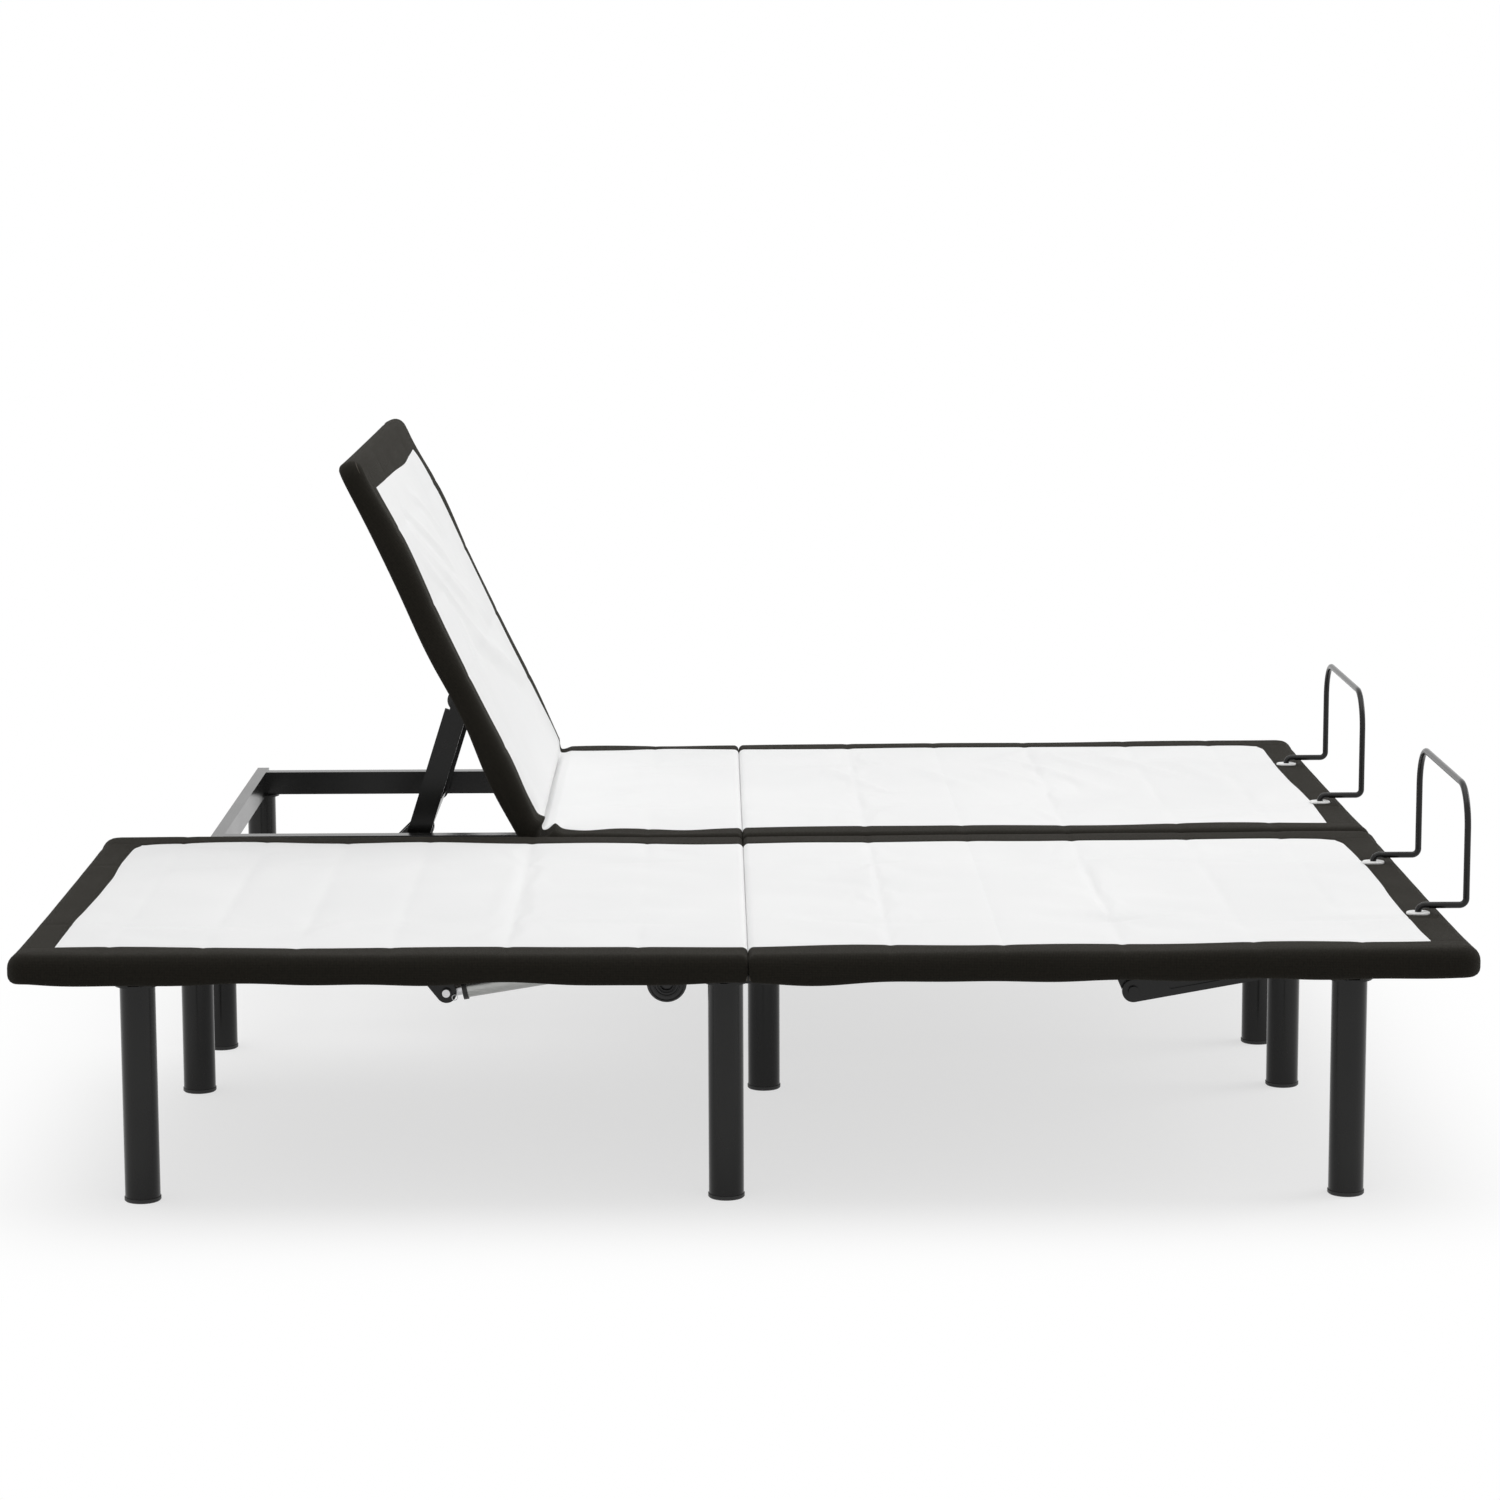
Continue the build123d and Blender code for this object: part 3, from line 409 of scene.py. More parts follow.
def edge_profile(reach_parts, drop_parts):
    """Reach, drop and run along the cloth, ring by ring."""
    reach = np.concatenate([[0.0], *reach_parts])
    drop = np.concatenate([[0.0], *drop_parts])
    run = np.concatenate([[0.0], np.cumsum(np.hypot(np.diff(reach), np.diff(drop)))])
    return np.array([reach, drop, run])


def wrapped_edge():
    """Cloth over the deck's edge, down its side and under it to the hem."""
    flat = edge_inset - edge_shoulder
    turn, low_turn = (steps(0.0, math.pi / 2, count) for count in (shoulder_rings, low_rings))
    low_start = cover_depth + hem_hang - edge_low
    reach = [steps(0.0, flat, flat_rings), flat + edge_shoulder * np.sin(turn),
             np.full(side_rings, edge_inset), edge_inset - edge_low * (1.0 - np.cos(low_turn)),
             steps(edge_inset - edge_low, edge_inset - edge_low - hem_width, hem_rings)]
    drop = [np.zeros(flat_rings), edge_shoulder * (1.0 - np.cos(turn)),
            steps(edge_shoulder, low_start, side_rings), low_start + edge_low * np.sin(low_turn),
            np.full(hem_rings, cover_depth + hem_hang)]
    return edge_profile(reach, drop)


def seam_edge():
    """Cloth that rolls down into the middle seam."""
    flat = seam_inset - seam_shoulder
    turn = steps(0.0, math.pi / 2, shoulder_rings)
    rest = side_rings + low_rings + hem_rings
    reach = [steps(0.0, flat, flat_rings), flat + seam_shoulder * np.sin(turn), np.full(rest, seam_inset)]
    drop = [np.zeros(flat_rings), seam_shoulder * (1.0 - np.cos(turn)),
            steps(seam_shoulder, seam_depth, rest)]
    return edge_profile(reach, drop)


ring_count = flat_rings + shoulder_rings + side_rings + low_rings + hem_rings
edge_profiles = {"wrapped": wrapped_edge(), "seam": seam_edge()}
print("edge rings", ring_count, "cloth over the edge", round(edge_profiles["wrapped"][2][-1], 4))

# %% [markdown]
# ## Lines of the cover's grid
# The cover is one sheet of quads. Its lines are close together where the cloth bends or is sewn and wider
# elsewhere, which costs far fewer faces than a fine grid all over. One line runs exactly along the border's
# seam, so the two cloths meet on an edge of the mesh.

# %% Grid lines
side_border = 0.074
end_border = 0.061
wide_step = 0.010
fine_step = 0.0030
least_step = 0.9 * fine_step
stitch_steps = (-0.008, -0.004, 0.0, 0.004, 0.008)
dip_steps = (-0.006, 0.0, 0.006)
rail_line = 0.235
bend_reach = 0.060


def filled(knots, step_of):
    """Lines between the knots, at the step that holds at each run's middle."""
    lines = [knots[0]]
    for start, stop in zip(knots, knots[1:]):
        count = max(1, round((stop - start) / step_of((start + stop) / 2)))
        lines.extend(np.linspace(start, stop, count + 1)[1:])
    return np.array(lines)


def border_knots(edge, inward, width):
    """Knots at an edge's inset line, and on and beside the border's seam."""
    seam = edge + inward * width
    return sorted([edge + inward * edge_inset] + [seam + step for step in stitch_steps])


def end_knots(edge, inward, kind):
    """Knots at one end of a sheet: those of a border, of the middle seam, or just the open end."""
    if kind == "wrapped":
        return border_knots(edge, inward, end_border)
    return [edge + inward * seam_inset] if kind == "seam" else [edge]


def spaced(knots, start, stop):
    """The knots between start and stop that keep at least a small step from the one before."""
    kept = []
    for knot in sorted(knots):
        if start + fine_step < knot < stop - fine_step and (not kept or knot - kept[-1] > least_step):
            kept.append(knot)
    return kept


def lines_across():
    """Lines across the bed, for a half whose middle is at zero."""
    near, far = border_knots(-half_reach, 1.0, side_border), border_knots(half_reach, -1.0, side_border)
    rails = [side * rail_line + step for side in (-1.0, 1.0) for step in dip_steps]
    return filled(near + rails + far, lambda place: wide_step)


def lines_along(ends, bend):
    """Lines along the bed between two ends, finer near the bend and the slat gaps."""
    first, last = (end_knots(*end) for end in ends)
    dips = [line + step for line in slat_lines for step in dip_steps]
    inner = spaced(dips + [bend - bend_reach, bend + bend_reach], first[-1], last[0])
    return filled(first + inner + last,
                  lambda place: fine_step if abs(place - bend) < bend_reach else wide_step)


print("lines across", len(lines_across()))

# %% [markdown]
# ## Relief of the cloth
# Cloth over foam and slats is never flat. It is lower at the rolled edges, sinks a little over each slat
# gap, along the rails and at the sewn seam, is drawn into a bent hinge, and lies in shallow waves. Each of
# these is a formula in the flat coordinates of the bed, so they add up to one height. Wrinkles are ridges
# along a line, given by their ends, width and height.

# %% Relief
crown_rise = 0.0012
crown_fade = 0.030
slat_dip = 0.0010
slat_dip_width = 0.006
stitch_dip = 0.0012
stitch_width = 0.0045
rail_dip = 0.0008
hinge_width = 0.007
crease_start = 0.085
crease_full = 0.160


def bell(gap, width):
    """1 where the gap is zero, falling off smoothly over a width."""
    return np.exp(-(gap / width) ** 2)


def eased(share):
    """A share from 0 to 1 with a soft start and end."""
    return share * share * (3.0 - 2.0 * share)


def ridge(x, y, wrinkle):
    """Height of one wrinkle: a soft ridge that thins out at both ends."""
    start, stop, width, height = wrinkle
    along = np.array(stop) - np.array(start)
    length = float(np.hypot(*along))
    share = ((x - start[0]) * along[0] + (y - start[1]) * along[1]) / length ** 2
    aside = ((x - start[0]) * -along[1] + (y - start[1]) * along[0]) / length
    return height * eased(np.clip(1.0 - np.abs(2.0 * share - 1.0), 0.0, 1.0)) * bell(aside, width)


def relief(x, y, edge_gap, stitch_gap, plan):
    """Height of the cloth above its plain top."""
    height = -crown_rise * np.exp(-edge_gap / crown_fade)
    for line in slat_lines:
        height = height - slat_dip * bell(x - line, slat_dip_width)
    for line in (-rail_line, rail_line):
        height = height - rail_dip * bell(y - line, slat_dip_width)
    height = height - stitch_dip * bell(stitch_gap, stitch_width)
    inside = np.clip((edge_gap - crease_start) / (crease_full - crease_start), 0.0, 1.0)
    height = height - plan["crease"] * inside * bell(x - plan["hinge"].x, hinge_width)
    height = height + plan["swell"](x, y)
    for wrinkle in plan["wrinkles"]:
        height = height + ridge(x, y, wrinkle)
    return height


print("relief kit ready")

# %% [markdown]
# ## The rows of a cover piece
# The sheet is worked out as a table of points. A row is either a line of the flat top or a ring of the
# cloth that goes over an edge. The border's seam wanders by some millimetres, and by up to three
# centimetres beside the raised hinge, as a hand-fitted cover's does. The lines beside the seam follow it
# and fade out.

# %% Cover rows
wave_fade_in = 0.150
corner_powers = {"wrapped": 1.0, "seam": 0.35}
corner_pull = 0.009
corner_reach = 0.022
line_tolerance = 1e-6


def with_rings(lines, kinds):
    """Each row's line, ring number, side, corner power and edge profile, from end to end."""
    blank = np.zeros((3, ring_count + 1))
    rows = [(line, 0, 0.0, 1.0, blank) for line in lines]
    for kind, line, sign in zip(kinds, (lines[0], lines[-1]), (-1.0, 1.0)):
        if kind != "open":
            rings = [(line, ring, sign, corner_powers[kind], edge_profiles[kind])
                     for ring in range(1, ring_count + 1)]
            rows = rings[::-1] + rows if sign < 0.0 else rows + rings
    return [np.array(column) for column in zip(*rows)]


def fade_from(place, edge, inward, width):
    """1 on the border's seam, 0 at the rolled edge and further in."""
    gap = (place - edge) * inward
    return np.interp(gap, [edge_inset, width, width + wave_fade_in], [0.0, 1.0, 0.0])


def seam_shifts(plan, x, y, side_gap):
    """The seam's shift along and across the bed, and the gaps to the nearest edge and to the seam."""
    near_wave, far_wave, *end_waves = plan["waves"]
    x_shift = np.zeros_like(x)
    y_shift = (near_wave(x) * fade_from(y, -half_reach, 1.0, side_border)
               + far_wave(x) * fade_from(y, half_reach, -1.0, side_border))
    edge_gap, stitch_gap = side_gap, np.abs(side_gap - side_border)
    for (edge, inward, kind), wave in zip(plan["ends"], end_waves):
        if kind == "wrapped":
            end_gap = (x - edge) * inward
            corner = np.hypot(end_gap - end_border, half_reach - side_border - y)
            pull = corner_pull * bell(corner, corner_reach)
            x_shift = x_shift + wave(y) * fade_from(x, edge, inward, end_border) + inward * pull
            y_shift = y_shift - pull
            inside = (end_gap > end_border) & (side_gap > side_border)
            beside = np.where(side_gap > side_border, np.abs(end_gap - end_border), stitch_gap)
            stitch_gap = np.where(inside, np.minimum(stitch_gap, end_gap - end_border), beside)
            edge_gap = np.minimum(edge_gap, end_gap)
    return x_shift, y_shift, edge_gap, stitch_gap


def dark_cells(ends, x_line, y_line, y_ring):
    """True for the cells of the border, outside its seam."""
    y_in = (y_ring == 0) & (np.abs(y_line) < half_reach - side_border + line_tolerance)
    x_in = np.ones(len(x_line), bool)
    for edge, inward, kind in ends:
        if kind == "wrapped":
            x_in &= (x_line - edge) * inward > end_border - line_tolerance
    return ~((x_in[:-1] & x_in[1:])[:, None] & (y_in[:-1] & y_in[1:])[None, :])


print("cover row kit ready")

# %% [markdown]
# ## The points of a cover piece
# Now the rows along and across the bed cross to a table. A corner needs care: there the rings of two edges
# meet, and each ring goes round the corner in a quarter circle. The side of the cloth is drawn in a little,
# its hem hangs unevenly, and its rim rises or falls by a few millimetres.

# %% Cover sheet
side_slack = 0.0018
rim_fade = 0.090
rim_ease = 0.7
seam_hang = 0.002
top_rings = flat_rings + shoulder_rings


def side_share(ring):
    """How far a ring is down the side: 0 on top and at the hem, 1 at the middle of the side."""
    middle = top_rings + side_rings / 2
    return np.clip(1.0 - np.abs(ring - middle) / (side_rings / 2 + low_rings), 0.0, 1.0)


def over_edge(profile, rings):
    """A profile's reach, drop and run for every ring number of the table."""
    return [np.take_along_axis(profile[:, row, :], rings, axis=1) for row in range(3)]


def cover_points(plan):
    """Flat points, unfolded coordinates, dark cells and the place of the flat top in the table."""
    kinds = [kind for edge, inward, kind in plan["ends"]]
    x_line, x_ring, x_sign, x_power, x_profile = with_rings(lines_along(plan["ends"], plan["hinge"].x), kinds)
    y_line, y_ring, y_sign, y_power, y_profile = with_rings(lines_across(), ("wrapped", "wrapped"))
    x, y = np.meshgrid(x_line, y_line, indexing="ij")
    side_gap = np.minimum(y + half_reach, half_reach - y)
    x_shift, y_shift, edge_gap, stitch_gap = seam_shifts(plan, x, y, side_gap)
    x_moved, y_moved = x + x_shift, y + y_shift
    # The ring of each point, and how far it is turned from the end's way to the side's way.
    ring = np.maximum(x_ring[:, None], y_ring[None, :])
    share = np.minimum(x_ring[:, None], y_ring[None, :]) / np.maximum(ring, 1)
    turn = np.where(x_ring[:, None] >= y_ring[None, :], share, 2.0 - share) * math.pi / 4
    power = x_power[:, None] * y_power[None, :]
    x_part = x_sign[:, None] * np.abs(np.cos(turn)) ** power
    y_part = y_sign[None, :] * np.abs(np.sin(turn)) ** power
    x_reach, x_drop, x_run = over_edge(x_profile, ring)
    y_reach, y_drop, y_run = (values.T for values in over_edge(y_profile, ring.T))
    # Heights: the top's relief, less the drop over the edge, and the uneven hem and rim.
    drop = x_drop * np.cos(turn) ** 2 + y_drop * np.sin(turn) ** 2
    lie = np.clip(1.0 - ring / top_rings, 0.0, 1.0)
    height = relief(x_moved, y_moved, edge_gap, stitch_gap, plan) * lie - crown_rise * (1.0 - lie)
    low_share = np.clip((ring - top_rings) / (side_rings + low_rings), 0.0, 1.0) * np.sin(turn) ** 2
    hang = (plan["hem"](x) + seam_hang * bell(x - seam_x, wave_fade_in)) * low_share
    rim = plan["rim"](x) * np.exp(-(side_gap - edge_inset) / rim_fade) * (1.0 - rim_ease * ring / ring_count)
    drawn_in = side_slack * (1.0 + np.tanh(plan["sag"](x))) * side_share(ring)
    points = np.stack([x_moved + x_reach * x_part, y_moved + (y_reach - drawn_in) * y_part,
                       cover_top + height + rim - drop - hang], axis=-1)
    unfolded = np.stack([x_moved + x_run * x_part, y_moved + y_run * y_part], axis=-1)
    top = np.ix_(x_ring == 0, y_ring == 0)
    return points, unfolded, dark_cells(plan["ends"], x_line, y_line, y_ring), top


print("cover sheet kit ready")

# %% [markdown]
# ## Bending a cover over its hinge
# The far half is photographed with its head raised, so its cover has to be drawn bent. Searching, by
# halving, for the angle at which a flat point lands on its own weight makes the two agree: laid down again,
# the cover takes its flat shape.

# %% Bend
crease_reach = 0.017
bend_halvings = 40


def turned(points, pivot, angle):
    """Points turned about the Y axis through a pivot, each by its own angle, which lifts the head."""
    dx, dz = points[..., 0] - pivot.x, points[..., 2] - pivot.z
    cos, sin = np.cos(angle), np.sin(angle)
    return np.stack([pivot.x + dx * cos + dz * sin, points[..., 1], pivot.z - dx * sin + dz * cos], axis=-1)


def crease_ends(pivot, reach, angle):
    """Where the bend starts, on the still side, and ends, on the moving side, towards the head."""
    start = np.array([pivot.x + reach, 0.0, pivot.z])
    stop = turned(np.array([pivot.x - reach, 0.0, pivot.z]), pivot, angle)
    return start, stop


def bent_weight(points, start, stop):
    way = stop - start
    return eased(np.clip(((points - start) @ way) / (way @ way), 0.0, 1.0))


def bent_up(points, pivot, reach, angle):
    """The flat sheet with its head lifted by an angle."""
    start, stop = crease_ends(pivot, reach, angle)
    low, high = np.zeros(points.shape[:-1]), np.ones(points.shape[:-1])
    for _ in range(bend_halvings):
        middle = (low + high) / 2
        short = bent_weight(turned(points, pivot, middle * angle), start, stop) > middle
        low, high = np.where(short, middle, low), np.where(short, high, middle)
    return turned(points, pivot, (low + high) / 2 * angle)


print("bend kit ready")

# %% [markdown]
# ## Letting the cloth settle
# Formulas alone leave cloth too even. So the flat top of each sheet also runs through Blender's cloth
# simulation for some frames: cut a little too large and held along its edges, it buckles into small folds
# of its own. There is no gravity, because the deck carries the cloth. No point may move further than a cap,
# and the moves fade out towards the border's seam, which is sewn and stays smooth.

# %% Settle
settle_frames = 20
settle_cap = 0.0030
settle_from = 0.042
settle_full = 0.110
cloth_excess = 0.003
cloth_mass = 0.2
cloth_stiffness = 0.3
held_rows = 2


def grid_faces(rows, columns):
    """Quads between neighbours of a table of points, as numbers of points."""
    index = np.arange(rows * columns).reshape(rows, columns)
    return np.stack([index[:-1, :-1], index[1:, :-1], index[1:, 1:], index[:-1, 1:]], axis=-1).reshape(-1, 4)


def freedom(points):
    """How freely each point may settle: 0 from the edges in to the border's seam, 1 well inside."""
    low, high = points[..., :2].min(axis=(0, 1)), points[..., :2].max(axis=(0, 1))
    gap = np.minimum(points[..., :2] - low, high - points[..., :2]).min(axis=-1)
    return np.clip((gap - settle_from) / (settle_full - settle_from), 0.0, 1.0)[..., None]


def settled(points):
    """A table of points after a short cloth simulation, its outer rows held."""
    rows, columns = points.shape[:2]
    mesh = bpy.data.meshes.new("settling")
    mesh.from_pydata(points.reshape(-1, 3), [], grid_faces(rows, columns).tolist())
    piece = added("settling", mesh)
    free = np.zeros((rows, columns), bool)
    free[held_rows:-held_rows, held_rows:-held_rows] = True
    held = piece.vertex_groups.new(name="held")
    held.add(np.flatnonzero(~free.ravel()).tolist(), 1.0, "REPLACE")
    cloth = piece.modifiers.new("cloth", "CLOTH")
    cloth.settings.vertex_group_mass = held.name
    cloth.settings.effector_weights.gravity = 0.0
    cloth.settings.shrink_min = -cloth_excess
    cloth.settings.mass = cloth_mass
    cloth.settings.bending_stiffness = cloth_stiffness
    cloth.collision_settings.use_collision = False
    cloth.point_cache.frame_end = settle_frames
    for step in range(1, settle_frames + 1):
        bpy.context.scene.frame_set(step)
    shaped = piece.evaluated_get(bpy.context.evaluated_depsgraph_get()).data
    after = np.empty(rows * columns * 3, np.float32)
    shaped.vertices.foreach_get("co", after)
    moved = np.clip(after.reshape(points.shape).astype(float) - points, -settle_cap, settle_cap)
    bpy.data.objects.remove(piece)
    bpy.context.scene.frame_set(1)
    return points + moved * freedom(points)


print("settles in", settle_frames, "frames, cap", settle_cap)

# %% [markdown]
# ## From points to a mesh
# The sheet gets a second layer inside, one cloth thickness below, and a rim that joins the two, so the
# piece is a closed body and not a paper-thin skin.

# %% Mesh from a table of points
cloth_thickness = 0.0016
least_length = 1e-12
rim_angle = math.radians(70.0)


def sheet_normals(points):
    """Unit normals of a table of points, from its neighbours each way."""
    normal = np.cross(np.gradient(points, axis=0), np.gradient(points, axis=1))
    return normal / np.maximum(np.linalg.norm(normal, axis=-1, keepdims=True), least_length)


def closed_sheet(name, points, unfolded, dark):
    """A closed mesh of two layers from a table of points."""
    rows, columns = points.shape[:2]
    inner = points - cloth_thickness * sheet_normals(points)
    index = np.arange(rows * columns).reshape(rows, columns)
    top = grid_faces(rows, columns)
    under = top[:, ::-1] + rows * columns
    loop = np.concatenate([index[0, :-1], index[:-1, -1], index[-1, :0:-1], index[:0:-1, 0]])
    after = np.roll(loop, -1)
    rim = np.stack([loop, after, after + rows * columns, loop + rows * columns], axis=-1)
    faces = np.concatenate([top, under, rim])
    mesh = bpy.data.meshes.new(name)
    mesh.from_pydata(np.concatenate([points.reshape(-1, 3), inner.reshape(-1, 3)]), [], faces.tolist())
    for material in cloth_finishes:
        mesh.materials.append(material)
    rim_dark = np.concatenate([dark[0], dark[:, -1], dark[-1, ::-1], dark[::-1, 0]])
    tones = np.concatenate([dark.ravel(), dark.ravel(), rim_dark]).astype(np.int32)
    mesh.polygons.foreach_set("material_index", tones)
    mesh.polygons.foreach_set("use_smooth", np.ones(len(faces), bool))
    flat = np.concatenate([unfolded.reshape(-1, 2)] * 2)
    layer = mesh.uv_layers.new(name="flat_cloth")
    layer.data.foreach_set("uv", flat[faces.ravel()].astype(np.float32).ravel())
    mesh.validate()
    mesh.set_sharp_from_angle(angle=rim_angle)
    return added(name, mesh)


print("mesh kit ready")

# %% [markdown]
# ## Wandering seams and hems
# No sewn line on a real cover is straight. Each seam here is a sum of a few sine waves of random length,
# which wanders without repeating, and bumps are added where the photograph shows the border pulled in or
# out. The random numbers come from one seeded generator, so each run draws the same cover.

# %% Seams and hems
rng = np.random.default_rng(seed=7)
full_turn = 2.0 * math.pi
wander_waves = 4
side_wave, side_lengths = 0.0035, (0.22, 0.60)
end_wave, end_lengths = 0.0025, (0.50, 1.10)
sag_wave, sag_lengths = 1.4, (0.10, 0.40)
hem_wave, hem_lengths = 0.0021, (0.14, 0.36)
lump_wave, lump_lengths = 0.0045, (0.12, 0.32)
swell_wave, swell_lengths, swell_count = 0.0007, (0.12, 0.55), 7
flat_rim = 0.0055


def wandering(lengths, height):
    """A smooth wandering line: a few sines of random length, between two limits, and random phase."""
    drawn = rng.uniform(*lengths, wander_waves)
    phases = rng.uniform(0.0, full_turn, wander_waves)
    return lambda place: height * sum(np.sin(full_turn * place / length + phase)
                                      for length, phase in zip(drawn, phases)) / math.sqrt(wander_waves)


def swell(lengths, height, count):
    """Shallow waves of several lengths and directions: the height as a function of the place."""
    drawn = rng.uniform(*lengths, count)
    turns = rng.uniform(0.0, math.pi, count)
    phases = rng.uniform(0.0, full_turn, count)

    def height_at(x, y):
        total = np.zeros_like(x)
        for length, turn, phase in zip(drawn, turns, phases):
            total = total + np.sin(full_turn * (x * math.cos(turn) + y * math.sin(turn)) / length + phase)
        return height * total / math.sqrt(count)

    return height_at


def seam_line(waver, bumps):
    """A border's seam: a wandering line with bumps, each a place along the seam, a width and a shift."""
    return lambda run: waver(run) + sum(shift * bell(run - place, width) for place, width, shift in bumps)


def rising_rim(x):
    """Rise of the flat cover's rim, which grows from the middle seam to both ends."""
    return flat_rim * np.abs(x - seam_x) / foot_end


seam_bumps = {
    "left": {"near": [(-0.78, 0.200, -0.014), (-0.43, 0.035, -0.024), (-0.345, 0.025, 0.014),
                      (-0.265, 0.035, -0.026), (-0.10, 0.045, -0.014)],
             "far": [(-0.75, 0.250, 0.010), (-0.39, 0.060, 0.030), (-0.15, 0.075, 0.026),
                     (0.50, 0.400, 0.010)],
             "head": [(0.12, 0.120, 0.004)]},
    "right": {"far": [(-0.70, 0.250, 0.014)], "head": [(-0.22, 0.180, -0.004), (0.26, 0.090, -0.004)]},
}
half_cloth = {}
for half, bumps in seam_bumps.items():
    sides = [seam_line(wandering(side_lengths, side_wave), bumps.get(edge, [])) for edge in ("near", "far")]
    ends = [seam_line(wandering(end_lengths, end_wave), bumps.get(edge, [])) for edge in ("head", "foot")]
    half_cloth[half] = {"waves": sides + ends, "sag": wandering(sag_lengths, sag_wave),
                        "hem": wandering(hem_lengths, hem_wave),
                        "swell": swell(swell_lengths, swell_wave, swell_count)}
lumpy_rim = wandering(lump_lengths, lump_wave)
print("seams of", ", ".join(half_cloth))

# %% [markdown]
# ## The covers of both halves
# Each half has three cover pieces: one over the head and the upper seat, one from the middle seam to the
# thigh and one from the thigh to the foot. A piece may bend over one hinge only, so the lower cover is
# split on a slat line of the thigh, which both of its pieces follow. An end of a piece is its place, the
# way inward and its kind.

# %% Cover plans
raised_crease = 0.010
cover_plans = {
    "upper": {"ends": ((head_end, 1.0, "wrapped"), (seam_x, -1.0, "seam")), "hinge": head_hinge,
              "bodies": ("root", "head"), "nodes": ("head_cover", "seat_cover"), "towards": -1.0},
    "middle": {"ends": ((seam_x, 1.0, "seam"), (thigh_split, -1.0, "open")), "hinge": thigh_hinge,
               "bodies": ("root", "thigh"), "nodes": ("seat_cover", "thigh_cover"), "towards": 1.0},
    "foot": {"ends": ((thigh_split, 1.0, "open"), (foot_end, -1.0, "wrapped")), "hinge": knee_hinge,
             "bodies": ("thigh", "leg"), "nodes": ("thigh_cover", "leg_cover"), "towards": 1.0},
}
head_angle = math.radians(abs(joints["left_head_tilt"]["range_deg"][0]))


def make_cover(half, section, wrinkles):
    """One cover piece of one half, in place, bent where its half is raised, and tied to its two bodies."""
    raised = half == "left" and section == "upper"
    plan = dict(cover_plans[section], **half_cloth[half], wrinkles=wrinkles,
                crease=raised_crease if raised else 0.0, rim=lumpy_rim if raised else rising_rim)
    points, unfolded, dark, top = cover_points(plan)
    points[top] = settled(points[top])
    points[..., 1] += side_signs[half] * half_middle
    hinge, way = plan["hinge"], plan["towards"]
    start = np.array([hinge.x - way * crease_reach, 0.0, hinge.z])
    stop = np.array([hinge.x + way * crease_reach, 0.0, hinge.z])
    if raised:
        points = bent_up(points, hinge, crease_reach, head_angle)
        start, stop = crease_ends(hinge, crease_reach, head_angle)
    piece = closed_sheet(f"{half}_{section}_cloth", points, unfolded, dark)
    bodies = [body if body == "root" else f"{half}_{body}" for body in plan["bodies"]]
    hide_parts(*[f"{half}_{node}" for node in plan["nodes"]])
    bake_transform(piece, *bodies, start=start.tolist(), end=stop.tolist())
    return piece


print("cover plans", ", ".join(cover_plans), "head raised by", round(math.degrees(head_angle), 1))

# %% [markdown]
# ## Wrinkles, and the covers made
# The photograph shows slanting folds on the raised head, gathers where it meets the seat, pulls across the
# lower cover of the far half and slack at one corner of the near half. Each wrinkle is two ends in the flat
# coordinates of its half, a width and a height. A few such lines look more like cloth than noise all over
# would.

# %% Covers
raised_wrinkles = [
    ((-0.732, -0.267), (-0.476, 0.465), 0.018, 0.0050),
    ((-0.696, -0.300), (-0.458, 0.400), 0.020, -0.0040),
    ((-0.950, -0.300), (-0.730, 0.150), 0.013, 0.0064),
    ((-0.925, -0.340), (-0.690, 0.120), 0.012, 0.0050),
    ((-0.900, -0.360), (-0.640, 0.180), 0.014, 0.0068),
    ((-0.955, -0.120), (-0.800, 0.250), 0.013, 0.0056),
    ((-0.860, -0.370), (-0.600, 0.050), 0.014, 0.0060),
    ((-0.800, -0.100), (-0.620, 0.320), 0.015, 0.0052),
    ((-0.365, -0.380), (-0.505, -0.300), 0.012, 0.0040),
    ((-0.365, -0.380), (-0.485, -0.200), 0.010, -0.0035),
    ((-0.365, -0.380), (-0.465, -0.360), 0.008, 0.0040),
    ((-0.291, -0.159), (-0.182, 0.041), 0.020, -0.0030),
    ((-0.378, -0.500), (-0.368, -0.350), 0.009, 0.0120),
    ((-0.310, -0.500), (-0.322, -0.350), 0.010, 0.0110),
]
flat_wrinkles = [
    ((0.090, 0.280), (0.260, -0.120), 0.016, 0.0040),
    ((0.250, 0.300), (0.430, -0.160), 0.017, 0.0050),
    ((0.360, 0.330), (0.550, -0.120), 0.015, 0.0046),
    ((0.450, 0.340), (0.640, -0.140), 0.016, 0.0058),
    ((0.530, 0.350), (0.720, -0.080), 0.014, 0.0050),
    ((0.610, 0.350), (0.780, 0.020), 0.015, 0.0046),
    ((0.700, 0.340), (0.850, -0.050), 0.018, 0.0042),
]
corner_wrinkles = [
    ((-0.960, 0.400), (-0.780, 0.240), 0.018, 0.0030),
    ((-0.930, 0.410), (-0.700, 0.330), 0.014, -0.0024),
]
wrinkles_of = {("left", "upper"): raised_wrinkles, ("left", "middle"): flat_wrinkles,
               ("left", "foot"): flat_wrinkles, ("right", "upper"): corner_wrinkles}
for half in side_signs:
    for section in cover_plans:
        cloth = make_cover(half, section, wrinkles_of.get((half, section), []))
        print(cloth.name, "points", len(cloth.data.vertices))

# %% [markdown]
# ## Small fittings
# A few turned pieces are too small for the CAD model but catch the light: the bright heads of the pins that
# join the head actuators to their levers, the spring clip beside each, the moulded rings on the end of each
# motor and the rings round the bolts of the links. Each is a plain primitive, tied to a body of the CAD
# model so that it moves with it.

